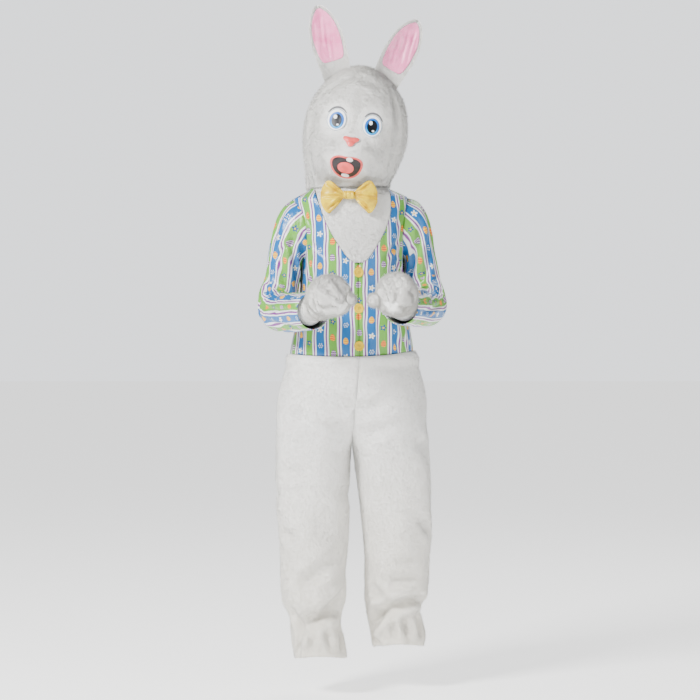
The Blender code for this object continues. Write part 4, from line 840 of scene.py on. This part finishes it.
def brow(side, turns):
    """A thin felt arc over an eye, its edges sunk in the pile."""
    mesh = applied["eye_" + side].data
    points = points_of(mesh)
    middle = Vector((points.max(0) + points.min(0)) / 2)
    made = []
    for share in np.linspace(0, 1, BROW_STATIONS):
        turn = math.radians(turns[0] + (turns[1] - turns[0]) * share)
        for across in np.linspace(-1, 1, BROW_COLUMNS):
            out = across * BROW_WIDTH / 2 * math.sin(math.pi * (0.06 + 0.88 * share)) ** 0.6
            spot = (middle + FACE_RIGHT * (BROW_WIDE + out) * math.cos(turn)
                    + FACE_UP * (BROW_TALL + out) * math.sin(turn))
            depth = face_depth(dressed_face, spot.x, spot.z)
            made.append((spot.x, depth - 0.0010 - BROW_CROWN * (1 - across ** 2), spot.z))
    return finished("brow_" + side, made, grid_faces(BROW_STATIONS, BROW_COLUMNS), "brow_felt")


applied["brow_right"] = brow("right", (38, 150))
applied["brow_left"] = brow("left", (30, 142))


# Pile: one thin triangle a strand, rooted on the outer side of a cloth and shaded like it

PILE = "name count length width lie shaggy"
PILES = named(PILE, both_sides((
    ("face", 95000, 0.0047, 0.00080, 1.15, 0.34),
    ("hood_{}", 65000, 0.0054, 0.00085, 1.10, 0.38),
    ("ear_{}", 18000, 0.0042, 0.00070, 1.00, 0.30),
    ("bib", 20000, 0.0042, 0.00075, 1.00, 0.30),
    ("leg_front_{}", 70000, 0.0036, 0.00080, 1.00, 0.30),
    ("leg_back_{}", 60000, 0.0036, 0.00080, 1.00, 0.30),
    ("mitt_{}", 30000, 0.0058, 0.00080, 0.85, 0.40),
    ("thumb_right", 3500, 0.0052, 0.00080, 0.80, 0.40),
    ("thumb_left", 4500, 0.0052, 0.00080, 0.80, 0.40),
)))
CUFF_START, CUFF_END = 0.041, 0.057
HEAD_MIDDLE = np.array((0.006, 0.0, 1.280 - SHOULDER_HEIGHT))


def swirl(points, seed, wavelength):
    """A smooth field of random directions."""
    return np.stack([ripples(points, seed + part, wavelength) for part in range(3)], 1)


def outer_share(name, region, roots, normals):
    """Pile length as a share of the full one: none on the inner side and in the cuffs."""
    if name.startswith("thumb"):
        return np.ones(len(roots))
    _, along, outward = places(region, roots)
    if region == "head":
        outward = unit(roots - HEAD_MIDDLE)
    share = ((normals * outward).sum(1) > 0.05).astype(float)
    if region.startswith("mitt"):
        share *= smooth(CUFF_START, CUFF_END, along)
    return share


FACE_BACK, LOOK_AROUND, COVERED, OVERHUNG = -0.03, 0.04, 0.0018, 0.012


def near_face_pieces(roots):
    """Pile length as a share of the full one: none under the applied pieces, and short beside them."""
    trees = [tree_of(obj.data) for obj in applied.values()]
    shares = np.ones(len(roots))
    for number, root in enumerate(roots):
        if root[1] > FACE_BACK:
            continue
        spot = Vector(root)
        gap = min((tree.find_nearest(spot, LOOK_AROUND)[3] or LOOK_AROUND) for tree in trees)
        share = 0.42 + 0.58 * float(smooth(0.004, 0.030, np.array(gap)))
        if gap < COVERED:
            share = 0.0
        elif gap < OVERHUNG:
            ahead = spot - BACKWARD * 0.0005
            if any(tree.ray_cast(ahead, -BACKWARD, 0.03)[0] is not None for tree in trees):
                share = 0.0
        shares[number] = share
    return shares


LEAST_SHARE = 0.05


def scatter(row, mesh, region, chance):
    """The strands' roots, spread evenly over the outer side, the way up at each, and each one's share of length."""
    mesh.calc_loop_triangles()
    corners = np.empty(len(mesh.loop_triangles) * 3, int)
    mesh.loop_triangles.foreach_get("vertices", corners)
    corners = corners.reshape(-1, 3)
    spots = points_of(mesh)[corners]
    crosses = np.cross(spots[:, 1] - spots[:, 0], spots[:, 2] - spots[:, 0])
    areas, facing = np.linalg.norm(crosses, axis=1) / 2, unit(crosses)
    weights = areas * (outer_share(row.name, region, spots.mean(1), facing) > 0)
    chosen = chance.choice(len(corners), row.count, p=weights / weights.sum())
    first, second = chance.random(row.count), chance.random(row.count)
    flip = first + second > 1
    first[flip], second[flip] = 1 - first[flip], 1 - second[flip]
    mix = np.stack([1 - first - second, first, second], 1)[:, :, None]
    roots = (spots[chosen] * mix).sum(1)
    upright = unit((normals_of(mesh)[corners[chosen]] * mix).sum(1) * 0.5 + facing[chosen])
    share = outer_share(row.name, region, roots, upright)
    if row.name == "face":
        share *= near_face_pieces(roots)
    kept = share > LEAST_SHARE
    return roots[kept], upright[kept], share[kept]


STRAY_SHARE, STRAY_LONGER, STRAY_UP = 0.10, 1.6, 0.5
SWIRL_SIZE, SWIRLED, RUFFLED = 0.011, 0.9, 0.45
STANDING, ROOT_DEPTH = 0.75, 0.0004
SHADE_LEAN, SHADE_SPREAD = 0.35, 0.16


def grow(row, cloth, region, seed):
    """A cloth's pile, combed down, or from wrist to fingers on a mitt. tint and the normals are for its shading."""
    chance = np.random.default_rng(seed)
    roots, upright, share = scatter(row, cloth.data, region, chance)
    total = len(roots)
    comb = AXES[region].tangents[Axis.SAMPLES // 2] if region.startswith("mitt") else np.array((0.0, 0.0, -1.0))
    lean = comb * row.lie + swirl(roots, seed, SWIRL_SIZE) * row.shaggy * SWIRLED + chance.normal(
        size=(total, 3)) * row.shaggy * RUFFLED
    lean -= upright * (lean * upright).sum(1)[:, None]
    along = unit(upright * STANDING + lean)
    length = row.length * share * chance.uniform(0.65, 1.15, total)
    stray = chance.random(total) < STRAY_SHARE
    length[stray] *= STRAY_LONGER
    along[stray] = unit(along[stray] + upright[stray] * STRAY_UP)
    tips = roots + along * length[:, None]
    side = unit(np.cross(along, upright) + chance.normal(size=(total, 3)) * 0.35)
    half = side * (row.width * chance.uniform(0.7, 1.3, total) / 2)[:, None]
    roots = roots - upright * ROOT_DEPTH
    corners = np.stack([roots - half, roots + half, tips], 1).reshape(-1, 3)
    made = bpy.data.meshes.new("pile_" + row.name)
    made.vertices.add(total * 3)
    made.loops.add(total * 3)
    made.polygons.add(total)
    made.vertices.foreach_set("co", corners.ravel())
    made.loops.foreach_set("vertex_index", np.arange(total * 3))
    made.polygons.foreach_set("loop_start", np.arange(total) * 3)
    made.update(calc_edges=True)
    tint = np.zeros((total, 3, 3))
    tint[:, 2, 0] = 1.0
    tint[:, :, 1] = chance.random(total)[:, None]
    put_vectors(made, "tint", tint.reshape(-1, 3))
    bent = unit(upright + lean * SHADE_LEAN + chance.normal(size=(total, 3)) * SHADE_SPREAD)
    made.polygons.foreach_set("use_smooth", [True] * total)
    made.normals_split_custom_set_from_vertices(np.repeat(bent, 3, axis=0).tolist())
    return linked("pile_" + row.name, made, "pile")


regions = {piece.name: piece.region for piece in CLOTHS}
piles = {row.name: grow(row, cloths[row.name], regions[row.name], 100 + 10 * number)
         for number, row in enumerate(PILES)}


# Buttons keep their frame mesh

BUTTON_TILTS, BUTTON_TURN = {"top": 1.554, "middle": 1.494, "bottom": 1.553}, 0.14
HOLE_OFFSET, THREAD_RADIUS, THREAD_RISE, THREAD_DROP = 0.0024, 0.00042, 0.0009, 0.0012
TWO_STRANDS = 2.1
THREAD_STATIONS, THREAD_RING = 13, 8


def thread(name, button, tilt, side):
    """Two strands from hole to hole over the button's face, as one bent tube that dips into the holes."""
    points = points_of(button.data)
    middle = Vector((points.max(0) + points.min(0)) / 2)
    turned = Matrix.Rotation(BUTTON_TURN, 3, "Z") @ Matrix.Rotation(tilt, 3, "X")
    tree = tree_of(button.data)
    front = turned @ Vector((0, 0, 1))
    made = []
    for share in np.linspace(-1, 1, THREAD_STATIONS):
        local = Vector((side * HOLE_OFFSET, share * (HOLE_OFFSET + 0.0004), 0.0))
        start = middle + turned @ Vector((side * HOLE_OFFSET * 0.2, 0.0, 0.0)) + front * 0.05
        top = tree.ray_cast(start, -front)[0]
        level = (top - middle).dot(front) + THREAD_RISE * (1 - abs(share) ** 3) - THREAD_DROP * abs(share) ** 6
        for step in range(THREAD_RING):
            around = 2 * math.pi * step / THREAD_RING
            wide, high = THREAD_RADIUS * (TWO_STRANDS * math.cos(around)), THREAD_RADIUS * math.sin(around)
            made.append(middle + turned @ (local + Vector((wide, 0.0, level + high))))
    corners = [(row * THREAD_RING, (row + 1) * THREAD_RING, step, (step + 1) % THREAD_RING)
               for row in range(THREAD_STATIONS - 1) for step in range(THREAD_RING)]
    faces = [(low + step, low + after, high + after, high + step) for low, high, step, after in corners]
    return finished(name, made, faces, "yellow_thread")


for name, tilt in BUTTON_TILTS.items():
    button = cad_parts["button_" + name]
    paint_with(button, "yellow_plastic")
    for side in (-1, 1):
        thread(f"thread_{name}_{'right' if side < 0 else 'left'}", button, tilt, side)


# Stage, light and camera

STAGE_GLOW = 1.25
FLOOR_REACH, FLOOR_GAP = 45.0, 0.001


def stage_floor():
    """A plain pale floor, large enough to meet the pale room at the horizon."""
    level = -SHOULDER_HEIGHT - FLOOR_GAP
    corners = [(x * FLOOR_REACH, y * FLOOR_REACH, level) for x, y in ((-1, -1), (1, -1), (1, 1), (-1, 1))]
    mesh = bpy.data.meshes.new("stage_floor")
    mesh.from_pydata(corners, [], [(0, 1, 2, 3)])
    obj = bpy.data.objects.new("stage_floor", mesh)
    bpy.context.scene.collection.objects.link(obj)
    finish = Finish("stage_paper", roughness=0.9, specular=0.1)
    mottle = finish.noise(finish.object_place(), 2.0) * 0.1
    finish.colour(finish.paint(linear(244, 244, 242), mottle, linear(238, 238, 236)))
    finish.shader.inputs["Emission Color"].default_value = (1.0, 1.0, 1.0, 1.0)
    finish.shader.inputs["Emission Strength"].default_value = STAGE_GLOW
    obj.data.materials.append(finish.material)


AIM = Vector((0.0, 0.0, -0.35))


def soft_light(name, place, size, power):
    lamp = bpy.data.lights.new(name, "AREA")
    lamp.shape = "RECTANGLE"
    lamp.size = lamp.size_y = size
    lamp.energy = power
    obj = bpy.data.objects.new(name, lamp)
    obj.location = place
    obj.rotation_euler = (AIM - Vector(place)).to_track_quat("-Z", "Y").to_euler()
    bpy.context.scene.collection.objects.link(obj)


stage_floor()
soft_light("key_light", (-2.3, -2.7, 1.9), 1.0, 350.0)
soft_light("fill_light", (2.7, -2.7, 0.2), 2.0, 34.0)
soft_light("back_light", (1.4, 2.0, 2.0), 1.5, 45.0)

ROOM_LIGHT, BACKDROP = 0.38, 1.75


def soft_room():
    """Even light from a pale room. The camera sees it as a paler backdrop than the light it gives."""
    world = bpy.data.worlds.new("soft_room")
    world.use_nodes = True
    tree = world.node_tree
    shade = tree.nodes["Background"]
    shade.inputs["Color"].default_value = (0.95, 0.97, 1.0, 1.0)
    seen = Term(tree, tree.nodes.new("ShaderNodeLightPath").outputs["Is Camera Ray"])
    feed(tree, seen * (BACKDROP - ROOM_LIGHT) + ROOM_LIGHT, shade.inputs["Strength"])
    bpy.context.scene.world = world


soft_room()

CAMERA_HEIGHT = 0.789
FRAME_WIDTH = 1.610
DISTANCE = 4.5
lens = bpy.data.cameras.new("camera")
lens.sensor_width = 36.0
lens.lens = 36.0 * DISTANCE / FRAME_WIDTH
camera = bpy.data.objects.new("camera", lens)
camera.location = (0.0, -DISTANCE, CAMERA_HEIGHT - SHOULDER_HEIGHT)
camera.rotation_euler = (math.pi / 2, 0.0, 0.0)
lens.shift_x = -2.0 / 700.0
bpy.context.scene.collection.objects.link(camera)
bpy.context.scene.camera = camera
